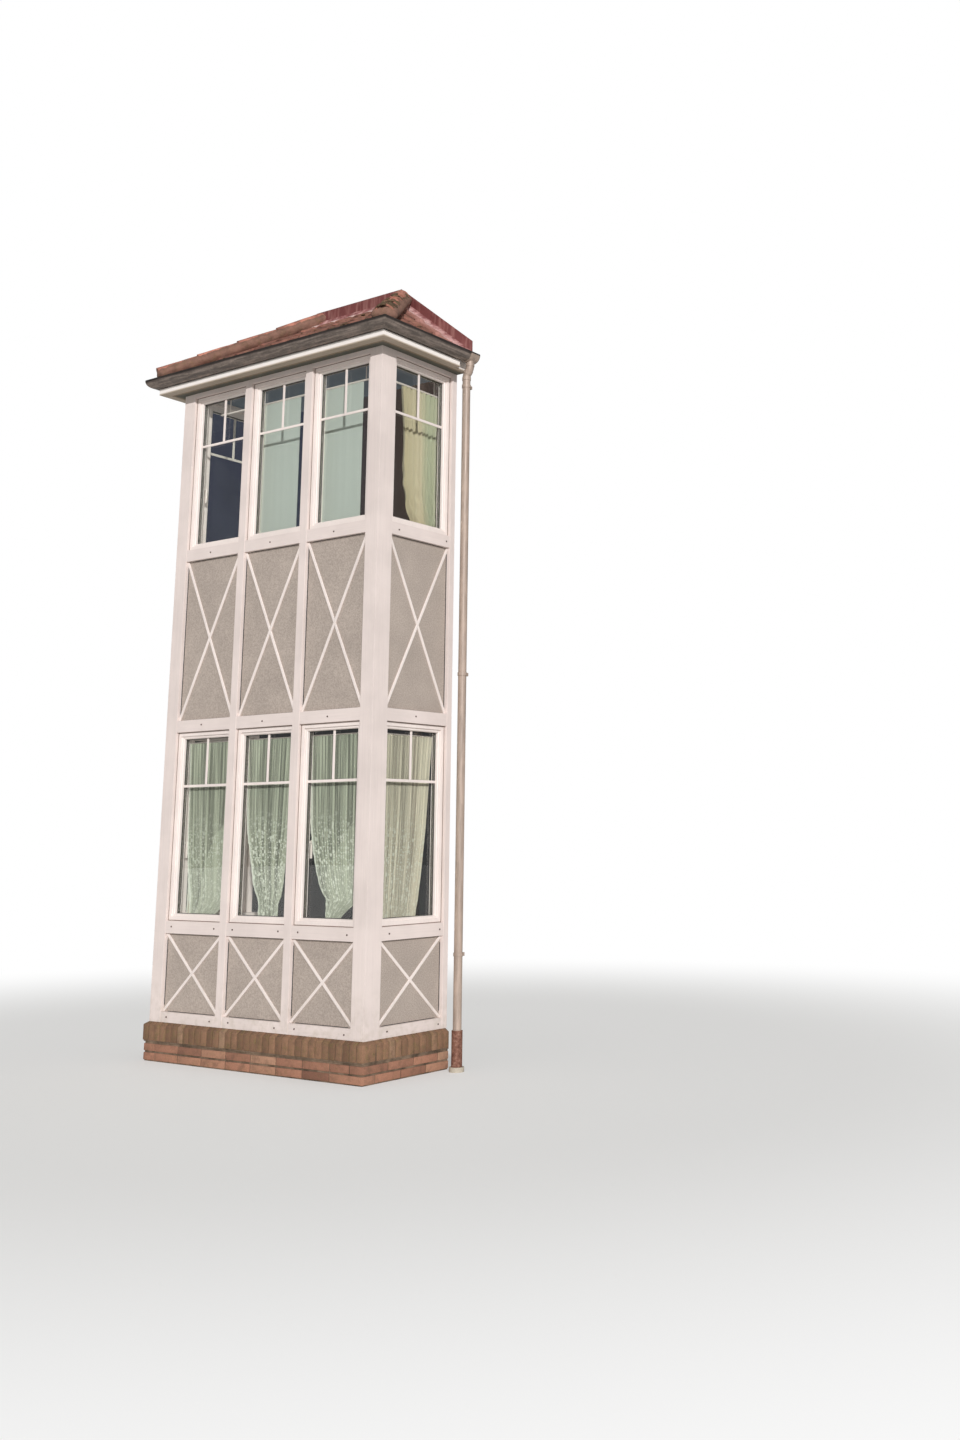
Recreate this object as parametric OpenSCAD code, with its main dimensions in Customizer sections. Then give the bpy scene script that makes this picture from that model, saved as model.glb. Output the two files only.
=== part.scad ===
// Two-storey timber bay window on a brick plinth, with a hipped tiled roof.
// The frame is at the house wall: x runs to the right seen from the front,
// y runs into the house, z runs up. The wall face is y = 0 and the ground z = 0.

/* [Bay] */
// Width over the outer faces of the corner posts
bay_w = 2130; // [1900:10:2500]
// Depth from the front face of the posts to the wall
bay_d = 835; // [760:5:1000]
// Thickness of the timber frame, outer face to inner face
frame_t = 120; // [110:1:150]

/* [Posts] */
// Width of a corner post on the front
corner_front = 118; // [100:1:150]
// Width of a corner post on the side
corner_side = 150; // [125:1:180]
// Width of the two posts between the front windows
post_w = 70; // [60:1:100]
// Width of the posts that stand against the wall
wall_post_w = 52; // [40:1:80]

/* [Heights] */
// Height of the plinth wall under its sill of bricks on edge
plinth_h = 135; // [100:5:300]
// Height of the sill of bricks on edge
brick_sill_h = 136; // [110:1:150]
// Height of the bottom rail
bottom_rail_h = 74; // [60:1:100]
// Height of the lower panels
lower_panel_h = 549; // [400:1:700]
// Height of the sill rails under both rows of windows
sill_rail_h = 90; // [75:1:110]
// Height of the lower window frames
lower_window_h = 1375; // [1200:5:1500]
// Height of the middle rail over the lower windows
middle_rail_h = 89; // [75:1:110]
// Height of the upper panels
upper_panel_h = 1232; // [1000:1:1400]
// Height of the upper window frames
upper_window_h = 1241; // [1100:1:1400]
// Height of the head rail over the upper windows
head_rail_h = 34; // [30:1:80]
// Height of the plate that lies on the posts
plate_h = 100; // [80:5:110]

/* [Panels] */
// How far the panels lie behind the face of the posts
panel_recess = 30; // [22:1:40]
// Thickness of the panel boards
panel_t = 12; // [8:1:18]
// Width of the diagonal battens
batten_w = 28; // [20:1:40]
// Thickness of the diagonal battens
batten_t = 18; // [10:1:20]
// How far the rails lie behind the face of the posts
rail_back = 2; // [0.5:0.5:6]

/* [Windows] */
// How far the window frames lie behind the face of the posts
window_recess = 25; // [15:1:30]
// Visible width of a window frame all round the glass
window_frame_w = 50; // [40:1:65]
// Depth of a window frame from its outer face
window_frame_t = 76; // [70:1:80]
// Thickness of the double glazing
glass_t = 24; // [16:1:28]
// Thickness of the window boards inside
window_board_t = 25; // [18:1:35]
// How far the window boards stand into the room
window_board_out = 95; // [60:5:110]

/* [Floors] */
// Height of the ground floor surface
ground_floor_z = 290; // [275:5:330]
// Height of the upper floor surface
upper_floor_z = 3085; // [2900:5:3200]
// Thickness of the upper floor
upper_floor_t = 250; // [180:10:300]

/* [Roof] */
// How far the lower edge of the tiles stands out from the posts
eave_out = 150; // [130:1:170]
// Height of the tile surface over the soffit at its lower edge
eave_rise = 155; // [150:1:170]
// Height of the tiled roof from its lower edge to the wall
roof_rise = 595; // [450:5:750]
// Half the length of the roof's top edge at the wall
ridge_half = 470; // [300:10:600]
// Upright thickness of the tiles with their battens
tile_t = 50; // [35:1:60]
// Upright thickness of the roof boards
roof_board_t = 28; // [20:1:30]
// Radius of the half-round hip tiles
hip_r = 75; // [60:1:90]
// Height of the metal flashing on the wall over the tiles
flashing_h = 90; // [60:5:150]
// How far the metal apron reaches from the wall over the front tiles
front_apron = 120; // [80:10:200]
// How far the metal apron reaches from the wall over the side tiles
side_apron = 250; // [150:10:350]
// Thickness of the apron's sheet
apron_t = 3; // [2:0.5:4]

/* [Eaves and gutter] */
// How far the fascia stands out from the posts
fascia_out = 100; // [85:1:110]
// Thickness of the fascia
fascia_t = 22; // [18:1:28]
// Thickness of the soffit boards
soffit_t = 12; // [9:1:18]
// Outer radius of the half-round gutter
gutter_r = 63; // [55:1:75]
// Thickness of the gutter sheet
gutter_t = 2; // [1.5:0.5:3]
// Height of the gutter's rim over the soffit
gutter_rise = 115; // [105:1:125]

/* [Downpipe] */
// Outer diameter of the downpipe
pipe_d = 60; // [50:1:80]
// Thickness of the pipe walls
pipe_t = 2; // [1.5:0.5:4]
// Distance from the wall to the middle of the pipe
pipe_wall_gap = 55; // [50:1:70]
// Distance from the bay's side to the middle of the downpipe
pipe_side_gap = 140; // [110:1:150]
// Outer diameter of the standpipe at the foot
standpipe_d = 76; // [70:1:100]
// Height of the standpipe's top over the ground
standpipe_h = 270; // [200:5:400]

/* [Curtains] */
// How far the upper curtain rods hang behind the face of the posts
upper_rod_recess = 187; // [160:1:200]
// Drop of the upper rods below the ceiling
upper_rod_drop = 150; // [120:5:250]
// Diameter of the upper curtain rods
upper_rod_d = 16; // [10:1:20]
// Width of one upper blind
blind_w = 400; // [300:5:430]
// How far each blind hangs to the left of the middle of its window
blind_shift = 140; // [0:5:150]
// Diameter of the net rods in the lower windows
net_rod_d = 8; // [5:1:9]
// Drop of the net rods below the lower window frames' top
net_rod_drop = 76; // [65:1:120]

/* [Hidden] */

$fn = 48;

// Half the width, and the places of the five bays of the frame.
half_w = bay_w / 2;
front_bay_w = (bay_w - 2 * corner_front - 2 * post_w) / 3;
side_bay_w = bay_d - corner_side - wall_post_w;
front_bay_x = [for (i = [-1:1]) i * (front_bay_w + post_w) - front_bay_w / 2];
side_bay_y = -(bay_d - corner_side);

// Heights of the levels, from the ground up.
wood_z = plinth_h + brick_sill_h;
lower_panel_z = wood_z + bottom_rail_h;
lower_sill_z = lower_panel_z + lower_panel_h;
lower_window_z = lower_sill_z + sill_rail_h;
middle_rail_z = lower_window_z + lower_window_h;
upper_panel_z = middle_rail_z + middle_rail_h;
upper_sill_z = upper_panel_z + upper_panel_h;
upper_window_z = upper_sill_z + sill_rail_h;
head_rail_z = upper_window_z + upper_window_h;
soffit_z = head_rail_z + head_rail_h;
plate_top = soffit_z + plate_h;

// The plinth stands out a little from the timber, and its sill a little more.
plinth_out = 20;
brick_sill_out = 30;
brick_sill_drop = 20;
plinth_t = 115;

// Clearances between pieces that only lie against each other.
seat = 0.3;

// Roof planes over the plan.
eave_z = soffit_z + eave_rise;
ridge_z = eave_z + roof_rise;
front_slope = roof_rise / (bay_d + eave_out);
side_slope = roof_rise / (half_w + eave_out - ridge_half);

// Length of the blocks that cut the pieces: longer than the bay is wide, and half its height or more.
reach = max(bay_w + bay_d, ridge_z / 2);

// Gutter and downpipe.
gutter_z = soffit_z + gutter_rise;
gutter_mid = fascia_out + seat + gutter_r;
bead_r = 8;
pipe_r = pipe_d / 2;
pipe_x = half_w + pipe_side_gap;
outlet_x = half_w + gutter_mid + 10;

// Colours.
white_paint = "#e8ded8";
panel_grey = "#a8a09b";
brick_red = "#8c5440";
moss_brick = "#7a6248";
concrete = "#9a968e";
tile_brown = "#7d4a3c";
flashing_red = "#6f2a2c";
gutter_grey = "#4e4642";
pipe_grey = "#b3aba0";
soffit_tan = "#7d7068";
glass_tint = "#9fb3a8";
net_green = "#c3cfbd";
blind_green = "#b7c6b8";
curtain_cream = "#d3cda0";
lining_white = "#e4e2dd";

// Plan outline of the front run between its mitre lines, and of the right one.
module front_sector(out, in) {
    polygon([[-half_w - out, -bay_d - out], [half_w + out, -bay_d - out],
        [half_w - in, -bay_d + in], [-half_w + in, -bay_d + in]]);
}
module right_sector(out, in) {
    polygon([[half_w + out, -bay_d - out], [half_w + out, 0],
        [half_w - in, 0], [half_w - in, -bay_d + in]]);
}

// Runs of a 2D profile along the front and along a side, cut on the mitres.
// The profile's x is the distance out from the posts' face and its y the height.
module front_run(out = 400, in = 200) {
    intersection() {
        translate([-reach / 2, -bay_d, 0])
            rotate([90, 0, 90])
                linear_extrude(reach)
                    mirror([1, 0])
                        children();
        linear_extrude(2 * reach)
            front_sector(out, in);
    }
}
module right_run(out = 400, in = 200) {
    intersection() {
        translate([half_w, 0, 0])
            rotate([90, 0, 0])
                linear_extrude(reach)
                    children();
        linear_extrude(2 * reach)
            right_sector(out, in);
    }
}
module both_sides() {
    children();
    mirror([1, 0, 0])
        children();
}

// Places children in a front bay, or in the right side bay.
// Local x runs along the bay, local y into the house from the posts' face.
module at_front(i, z) {
    translate([front_bay_x[i], -bay_d, z])
        children();
}
module at_right(z) {
    translate([half_w, side_bay_y, z])
        rotate([0, 0, 90])
            children();
}

// One block in each of the five bays.
module bay_blocks(z, h, recess, t) {
    for (i = [0:2])
        at_front(i, z)
            translate([0, recess, 0])
                cube([front_bay_w, t, h]);
    both_sides()
        at_right(z)
            translate([0, recess, 0])
                cube([side_bay_w, t, h]);
}

// Solid under the roof planes, lowered by drop, out to the given overhang.
module under_roof(drop, out, bottom, back = 0) {
    front_z = eave_z - drop - front_slope * (out - eave_out);
    side_z = eave_z - drop - side_slope * (out - eave_out);
    top_z = ridge_z - drop;
    intersection() {
        translate([-reach / 2, 0, 0])
            rotate([90, 0, 90])
                linear_extrude(reach)
                    polygon([[-bay_d - out, bottom], [-bay_d - out, front_z],
                        [0, top_z], [back, top_z + front_slope * back], [back, bottom]]);
        translate([0, reach, 0])
            rotate([90, 0, 0])
                linear_extrude(2 * reach)
                    polygon([[-half_w - out, bottom], [-half_w - out, side_z],
                        [-ridge_half, top_z], [ridge_half, top_z],
                        [half_w + out, side_z], [half_w + out, bottom]]);
    }
}

// Brick plinth: a U of walls with the floor slab inside.
module plinth_wall() {
    color(brick_red)
        difference() {
            translate([-half_w - plinth_out, -bay_d - plinth_out, 0])
                cube([bay_w + 2 * plinth_out, bay_d + plinth_out, plinth_h]);
            translate([-half_w - plinth_out + plinth_t, -bay_d - plinth_out + plinth_t, -1])
                cube([bay_w + 2 * plinth_out - 2 * plinth_t, bay_d + plinth_out, plinth_h + 2]);
        }
}
module brick_sill_profile() {
    polygon([[plinth_out - plinth_t, plinth_h], [brick_sill_out, plinth_h],
        [brick_sill_out, wood_z - brick_sill_drop], [0, wood_z],
        [plinth_out - plinth_t, wood_z]]);
}
module plinth_sill() {
    color(moss_brick)
        union() {
            front_run()
                brick_sill_profile();
            both_sides()
                right_run()
                    brick_sill_profile();
        }
}
module ground_floor() {
    inset = plinth_t - plinth_out;
    color(concrete)
        union() {
            translate([-half_w + inset, -bay_d + inset, 0])
                cube([bay_w - 2 * inset, bay_d - inset, wood_z]);
            translate([-half_w + frame_t, -bay_d + frame_t, wood_z - 1])
                cube([bay_w - 2 * frame_t, bay_d - frame_t, ground_floor_z - wood_z + 1]);
        }
}
module upper_floor() {
    color(concrete)
        translate([-half_w + frame_t, -bay_d + frame_t, upper_floor_z - upper_floor_t])
            cube([bay_w - 2 * frame_t, bay_d - frame_t, upper_floor_t]);
}
module ceiling() {
    color(lining_white)
        translate([-half_w + frame_t, -bay_d + frame_t, soffit_z])
            cube([bay_w - 2 * frame_t, bay_d - frame_t, plate_h]);
}

// Posts stand on the brick sill and carry the top plate.
module corner_post() {
    translate([half_w, -bay_d, wood_z])
        linear_extrude(soffit_z - wood_z)
            polygon([[0, 0], [0, corner_side], [-frame_t, corner_side],
                [-frame_t, frame_t], [-corner_front, frame_t], [-corner_front, 0]]);
}
module corner_posts() {
    color(white_paint)
        both_sides()
            corner_post();
}
module front_posts() {
    color(white_paint)
        for (side = [-1, 1])
            translate([side * (front_bay_w + post_w) / 2 - post_w / 2, -bay_d, wood_z])
                cube([post_w, frame_t, soffit_z - wood_z]);
}
module wall_posts() {
    color(white_paint)
        both_sides()
            translate([half_w - frame_t, -wall_post_w, wood_z])
                cube([frame_t, wall_post_w, soffit_z - wood_z]);
}

// Rails lie between the posts, a little behind their face.
module rails(z, h) {
    color(white_paint)
        bay_blocks(z, h, rail_back, frame_t - rail_back);
}
module bottom_rail() {
    rails(wood_z, bottom_rail_h);
}
module lower_sill_rail() {
    rails(lower_sill_z, sill_rail_h);
}
module middle_rail() {
    rails(middle_rail_z, middle_rail_h);
}
module upper_sill_rail() {
    rails(upper_sill_z, sill_rail_h);
}
module head_rail() {
    rails(head_rail_z, head_rail_h);
}
module plate_profile() {
    translate([-frame_t, soffit_z])
        square([frame_t, plate_h]);
}
module top_plate() {
    color(white_paint)
        union() {
            front_run()
                plate_profile();
            both_sides()
                right_run()
                    plate_profile();
        }
}

// Panels, the insulated wall behind them, and the diagonal battens.
module lower_panels() {
    color(panel_grey)
        bay_blocks(lower_panel_z, lower_panel_h, panel_recess, panel_t);
}
module upper_panels() {
    color(panel_grey)
        bay_blocks(upper_panel_z, upper_panel_h, panel_recess, panel_t);
}
module lower_infill() {
    color(lining_white)
        bay_blocks(lower_panel_z, lower_panel_h, panel_recess + panel_t,
            frame_t - panel_recess - panel_t);
}
module upper_infill() {
    color(lining_white)
        bay_blocks(upper_panel_z, upper_panel_h, panel_recess + panel_t,
            frame_t - panel_recess - panel_t);
}
module cross(w, h) {
    long = sqrt(w * w + h * h) + 2 * batten_w;
    angle = atan2(h, w);
    translate([0, panel_recess, 0])
        rotate([90, 0, 0])
            linear_extrude(batten_t)
                intersection() {
                    square([w, h]);
                    translate([w / 2, h / 2])
                        union() {
                            rotate(angle)
                                square([long, batten_w], center = true);
                            rotate(-angle)
                                square([long, batten_w], center = true);
                        }
                }
}
module crosses(z, h) {
    color(white_paint)
        union() {
            for (i = [0:2])
                at_front(i, z)
                    cross(front_bay_w, h);
            both_sides()
                at_right(z)
                    cross(side_bay_w, h);
        }
}
module lower_crosses() {
    crosses(lower_panel_z, lower_panel_h);
}
module upper_crosses() {
    crosses(upper_panel_z, upper_panel_h);
}

// Window frame: a stepped moulding that runs round the glass with mitred
// corners, with a groove that holds the double glazing.
step_u = 30;
step_v = 12;
bead_slope = 6;
glass_v = 40;
groove_u = 38;
module frame_profile() {
    w = window_frame_w;
    polygon([[0, 0], [step_u, 0], [step_u, step_v], [w - bead_slope, step_v],
        [w, step_v + bead_slope], [w, glass_v], [groove_u, glass_v],
        [groove_u, glass_v + glass_t], [w, glass_v + glass_t],
        [w, window_frame_t], [0, window_frame_t]]);
}
// One member of the frame along x, of the given length, mitred at both ends.
module frame_bar(length) {
    w = window_frame_w;
    intersection() {
        rotate([90, 0, 90])
            linear_extrude(length)
                mirror([1, 0])
                    rotate(90)
                        frame_profile();
        rotate([90, 0, 0])
            translate([0, 0, -window_frame_t])
                linear_extrude(window_frame_t)
                    polygon([[0, 0], [length, 0], [length - w, w], [w, w]]);
    }
}
module window_frame(w, h) {
    color(white_paint)
        translate([0, window_recess, 0])
            union() {
                frame_bar(w);
                translate([w, 0, h])
                    rotate([0, 180, 0])
                        frame_bar(w);
                translate([w, 0, 0])
                    rotate([0, -90, 0])
                        frame_bar(h);
                translate([0, 0, h])
                    rotate([0, 90, 0])
                        frame_bar(h);
            }
}
module window_frames(z, h) {
    for (i = [0:2])
        at_front(i, z)
            window_frame(front_bay_w, h);
    both_sides()
        at_right(z)
            window_frame(side_bay_w, h);
}
module lower_windows() {
    window_frames(lower_window_z, lower_window_h);
}
module upper_windows() {
    window_frames(upper_window_z, upper_window_h);
}

// Glass panes sit in the frames' grooves with a small gap all round.
module pane(w, h) {
    edge = groove_u + seat;
    translate([edge, window_recess + glass_v + seat, edge])
        cube([w - 2 * edge, glass_t - 2 * seat, h - 2 * edge]);
}
module panes(z, h) {
    color(glass_tint, 0.4) {
        for (i = [0:2])
            at_front(i, z)
                pane(front_bay_w, h);
        both_sides()
            at_right(z)
                pane(side_bay_w, h);
    }
}
module lower_glass() {
    panes(lower_window_z, lower_window_h);
}
module upper_glass() {
    panes(upper_window_z, upper_window_h);
}

// Window boards lie on the sill rails behind the frames, in three lengths:
// the front board takes the corners, and the side boards butt against it.
module board_shelf(z) {
    shelf_in = frame_t + window_board_out;
    translate([0, 0, z])
        linear_extrude(window_board_t)
            difference() {
                translate([-half_w + frame_t, -bay_d + frame_t])
                    square([bay_w - 2 * frame_t, bay_d - frame_t]);
                translate([-half_w + shelf_in, -bay_d + shelf_in])
                    square([bay_w - 2 * shelf_in, bay_d]);
            }
}
module window_boards(z) {
    frame_back = window_recess + window_frame_t;
    color(white_paint)
        difference() {
            union() {
                bay_blocks(z, window_board_t, frame_back, frame_t - frame_back);
                board_shelf(z);
            }
            translate([-reach / 2, -bay_d + frame_t + window_board_out, z - 1])
                cube([reach, seat, window_board_t + 2]);
        }
}
module lower_window_board() {
    window_boards(lower_window_z);
}
module upper_window_board() {
    window_boards(upper_window_z);
}

// Eaves: soffit boards, fascia, roof boards and the tiled planes.
module soffit_profile() {
    translate([0, soffit_z])
        square([fascia_out - fascia_t, soffit_t]);
}
module soffit() {
    color(soffit_tan)
        union() {
            front_run()
                soffit_profile();
            both_sides()
                right_run()
                    soffit_profile();
        }
}
module fascia_profile() {
    translate([fascia_out - fascia_t, soffit_z])
        square([fascia_t, 300]);
}
module fascia() {
    color(white_paint)
        intersection() {
            union() {
                front_run()
                    fascia_profile();
                both_sides()
                    right_run()
                        fascia_profile();
            }
            under_roof(tile_t + roof_board_t, eave_out + 50, 0, 50);
        }
}
module roof_boards() {
    color("#a58a6a")
        difference() {
            under_roof(tile_t, fascia_out, soffit_z + soffit_t);
            under_roof(tile_t + roof_board_t, fascia_out + 50, 0, 50);
        }
}
module roof_tiles() {
    color(tile_brown)
        difference() {
            under_roof(0, eave_out, soffit_z);
            under_roof(tile_t, eave_out + 50, 0, 50);
        }
}

// Half-round hip tiles on the two hips.
hip_run_x = half_w + eave_out - ridge_half;
hip_run_y = bay_d + eave_out;
hip_plan = sqrt(hip_run_x * hip_run_x + hip_run_y * hip_run_y);
hip_len = sqrt(hip_plan * hip_plan + roof_rise * roof_rise);
hip_turn = atan2(hip_run_y, -hip_run_x);
hip_tilt = atan2(roof_rise, hip_plan);
module hip_tile_row() {
    intersection() {
        difference() {
            translate([half_w + eave_out, -bay_d - eave_out, eave_z])
                rotate([0, 0, hip_turn])
                    rotate([0, -hip_tilt, 0])
                        rotate([0, 90, 0])
                            translate([0, 0, -20])
                                cylinder(r = hip_r, h = hip_len + 200);
            under_roof(-seat, eave_out + 200, 0, 100);
        }
        translate([-reach / 2, -reach, 0])
            cube([reach, reach, 3 * reach]);
    }
}
module hip_tiles() {
    color(tile_brown) {
        hip_tile_row();
        mirror([1, 0, 0])
            hip_tile_row();
    }
}

// Metal flashing: an upright strip on the wall, and the apron that it turns into over the tiles.
flashing_t = 6;
function hip_x(from_wall) = ridge_half + from_wall * hip_run_x / hip_run_y;
module front_apron_plan() {
    polygon([[-ridge_half, 0], [ridge_half, 0], [hip_x(front_apron), -front_apron],
        [-hip_x(front_apron), -front_apron]]);
}
module side_apron_plan() {
    polygon([[ridge_half, 0], [hip_x(side_apron), -side_apron], [half_w + eave_out, -side_apron],
        [half_w + eave_out, 0]]);
}
module wall_flashing() {
    color(flashing_red)
        difference() {
            union() {
                intersection() {
                    under_roof(-flashing_h, eave_out, soffit_z, 0);
                    translate([-reach / 2, -flashing_t, 0])
                        cube([reach, flashing_t, 3 * reach]);
                }
                intersection() {
                    under_roof(-seat - apron_t, eave_out, soffit_z, 0);
                    linear_extrude(3 * reach) {
                        front_apron_plan();
                        both_sides()
                            side_apron_plan();
                    }
                }
            }
            under_roof(-seat, eave_out + 50, 0, 50);
            hip_clear();
            mirror([1, 0, 0])
                hip_clear();
        }
}
module hip_clear() {
    translate([half_w + eave_out, -bay_d - eave_out, eave_z])
        rotate([0, 0, hip_turn])
            rotate([0, -hip_tilt, 0])
                rotate([0, 90, 0])
                    translate([0, 0, -50])
                        cylinder(r = hip_r + seat, h = hip_len + 400);
}

// Half-round gutter with a rolled bead on its outer rim.
module gutter_profile() {
    translate([gutter_mid, gutter_z])
        union() {
            difference() {
                circle(r = gutter_r);
                circle(r = gutter_r - gutter_t);
                translate([-2 * gutter_r, 0])
                    square([4 * gutter_r, 2 * gutter_r]);
            }
            translate([gutter_r - bead_r, 0])
                circle(r = bead_r);
        }
}
module gutter_end_profile() {
    translate([gutter_mid, gutter_z])
        difference() {
            circle(r = gutter_r);
            translate([-2 * gutter_r, 0])
                square([4 * gutter_r, 2 * gutter_r]);
        }
}
module gutter_side() {
    union() {
        right_run()
            gutter_profile();
        translate([half_w, 0, 0])
            rotate([90, 0, 0])
                linear_extrude(gutter_t)
                    gutter_end_profile();
    }
}
module gutter_front() {
    color(gutter_grey)
        front_run()
            gutter_profile();
}
module gutter_left() {
    color(gutter_grey)
        mirror([1, 0, 0])
            gutter_side();
}
module gutter_right() {
    color(gutter_grey)
        difference() {
            gutter_side();
            translate([outlet_x, -pipe_wall_gap, gutter_z - 2 * gutter_r])
                cylinder(r = pipe_r - pipe_t, h = 2 * gutter_r);
        }
}

// Outlet: a saddle that hugs the gutter's outer side, with a spigot below it.
neck_bend = 35;
neck_r = 60;
neck_top = gutter_z - gutter_r - 30;
neck_shift = outlet_x - pipe_x;
neck_straight = (neck_shift - 2 * neck_r * (1 - cos(neck_bend))) / sin(neck_bend);
neck_fall = 2 * neck_r * sin(neck_bend) + neck_straight * cos(neck_bend);
neck_foot = neck_top - neck_fall;
socket_t = 3;
socket_r = pipe_r - pipe_t / 2;
socket_lap = 4;
socket_h = 22;
spigot_r = socket_r - seat;
saddle_w = 96;
saddle_t = 2;
saddle_r = gutter_r + seat;
module saddle_profile() {
    difference() {
        circle(r = saddle_r + saddle_t);
        circle(r = saddle_r);
        translate([-2 * gutter_r, -bead_r - seat])
            square([4 * gutter_r, 2 * gutter_r]);
        translate([-2.5 * gutter_r, -2 * gutter_r])
            square([2 * gutter_r, 4 * gutter_r]);
    }
}
module gutter_outlet() {
    color(pipe_grey)
        difference() {
            union() {
                translate([half_w + gutter_mid, -pipe_wall_gap + saddle_w / 2, gutter_z])
                    rotate([90, 0, 0])
                        linear_extrude(saddle_w)
                            saddle_profile();
                translate([outlet_x, -pipe_wall_gap, neck_top + 1])
                    cylinder(r = spigot_r, h = gutter_r);
            }
            translate([half_w + gutter_mid, 1, gutter_z])
                rotate([90, 0, 0])
                    cylinder(r = saddle_r, h = bay_d);
            translate([outlet_x, -pipe_wall_gap, neck_top])
                cylinder(r = spigot_r - pipe_t, h = 2 * gutter_r);
        }
}

// Swan-neck: two bends in a common sleeve, the same above and below its middle.
// A socket at its top takes the spigot and one at its foot takes the downpipe.
module pipe_ring() {
    difference() {
        circle(r = pipe_r);
        circle(r = pipe_r - pipe_t);
    }
}
module sleeve(from, to) {
    translate([0, 0, from])
        linear_extrude(to - from)
            difference() {
                circle(r = pipe_r + socket_t);
                circle(r = socket_r);
            }
}
module neck_bend_and_socket() {
    translate([neck_shift / 2 - neck_r, 0, neck_fall / 2])
        rotate([-90, 0, 0])
            rotate_extrude(angle = neck_bend)
                translate([neck_r, 0])
                    pipe_ring();
    translate([neck_shift / 2, 0, neck_fall / 2])
        sleeve(-socket_lap, socket_h);
}
module swan_neck() {
    half_sleeve = neck_straight / 2 + socket_lap;
    color(pipe_grey)
        translate([pipe_x + neck_shift / 2, -pipe_wall_gap, neck_foot + neck_fall / 2]) {
            for (turn = [0, 180])
                rotate([0, turn, 0])
                    neck_bend_and_socket();
            rotate([0, neck_bend, 0])
                sleeve(-half_sleeve, half_sleeve);
        }
}

// Downpipe: its narrowed top pushes into the neck's socket, brackets hold it
// to the wall, and its foot stands in the standpipe.
pipe_foot = standpipe_h - 40;
pipe_shoulder = neck_foot - socket_h - seat;
module downpipe() {
    color(pipe_grey)
        translate([pipe_x, -pipe_wall_gap, 0])
            difference() {
                union() {
                    translate([0, 0, pipe_foot])
                        cylinder(r = pipe_r, h = pipe_shoulder - pipe_foot);
                    translate([0, 0, pipe_foot])
                        cylinder(r = spigot_r, h = neck_foot - 1 - pipe_foot);
                }
                cylinder(r = spigot_r - pipe_t, h = 2 * reach);
            }
}
bracket_h = 24;
bracket_t = 4;
bracket_z = [760, 2715, pipe_shoulder - 60];
module pipe_bracket() {
    difference() {
        union() {
            cylinder(r = pipe_r + seat + bracket_t, h = bracket_h);
            translate([-bracket_h / 2, 0, 0])
                cube([bracket_h, pipe_wall_gap, bracket_h]);
        }
        translate([0, 0, -1])
            cylinder(r = pipe_r + seat, h = bracket_h + 2);
    }
}
module pipe_brackets() {
    color(pipe_grey)
        for (z = bracket_z)
            translate([pipe_x, -pipe_wall_gap, z])
                pipe_bracket();
}
standpipe_t = 4;
module standpipe() {
    color(brick_red)
        translate([pipe_x, -pipe_wall_gap, 0])
            difference() {
                cylinder(r = standpipe_d / 2, h = standpipe_h);
                translate([0, 0, -1])
                    cylinder(r = standpipe_d / 2 - standpipe_t, h = standpipe_h - 19);
                cylinder(r = pipe_r + seat, h = standpipe_h + 1);
            }
}
collar_r = 52;
collar_h = 32;
module drain_collar() {
    color(concrete)
        translate([pipe_x, -pipe_wall_gap, 0])
            difference() {
                cylinder(r = collar_r, h = collar_h);
                translate([0, 0, -1])
                    cylinder(r = standpipe_d / 2 + seat, h = collar_h + 2);
            }
}

// Rods for the curtains: one across each lower window between the posts, and
// two that hang from the ceiling upstairs, along the front and the right side.
net_rod_recess = frame_t - 10;
net_rod_z = middle_rail_z - net_rod_drop;
upper_rod_z = soffit_z - upper_rod_drop;
hanger_d = 8;
module net_rod(length) {
    translate([seat, net_rod_recess, 0])
        rotate([0, 90, 0])
            cylinder(d = net_rod_d, h = length - 2 * seat);
}
module hung_rod(length) {
    rotate([0, 90, 0])
        cylinder(d = upper_rod_d, h = length);
    for (x = [length * 0.06, length * 0.94])
        translate([x, 0, 0])
            cylinder(d = hanger_d, h = upper_rod_drop - seat);
}
front_rod_half = half_w - upper_rod_recess - 40;
side_rod_len = bay_d - upper_rod_recess - 80;
module curtain_rods() {
    color(white_paint) {
        for (i = [0:2])
            at_front(i, net_rod_z)
                net_rod(front_bay_w);
        both_sides()
            at_right(net_rod_z)
                net_rod(side_bay_w);
        translate([-front_rod_half, -bay_d + upper_rod_recess, upper_rod_z])
            hung_rod(2 * front_rod_half);
        translate([half_w - upper_rod_recess, -side_rod_len - 20, upper_rod_z])
            rotate([0, 0, 90])
                hung_rod(side_rod_len);
    }
}

// Nets, blinds and the curtain: plain bodies of their outer shape.
net_t = 14;
net_foot = lower_window_z + window_board_t + seat;
net_head = net_rod_z - net_rod_d / 2 - seat;
blind_t = 4;
curtain_t = 40;
curtain_foot = upper_window_z + window_board_t + seat;
curtain_head = upper_rod_z - upper_rod_d / 2 - seat;
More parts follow.
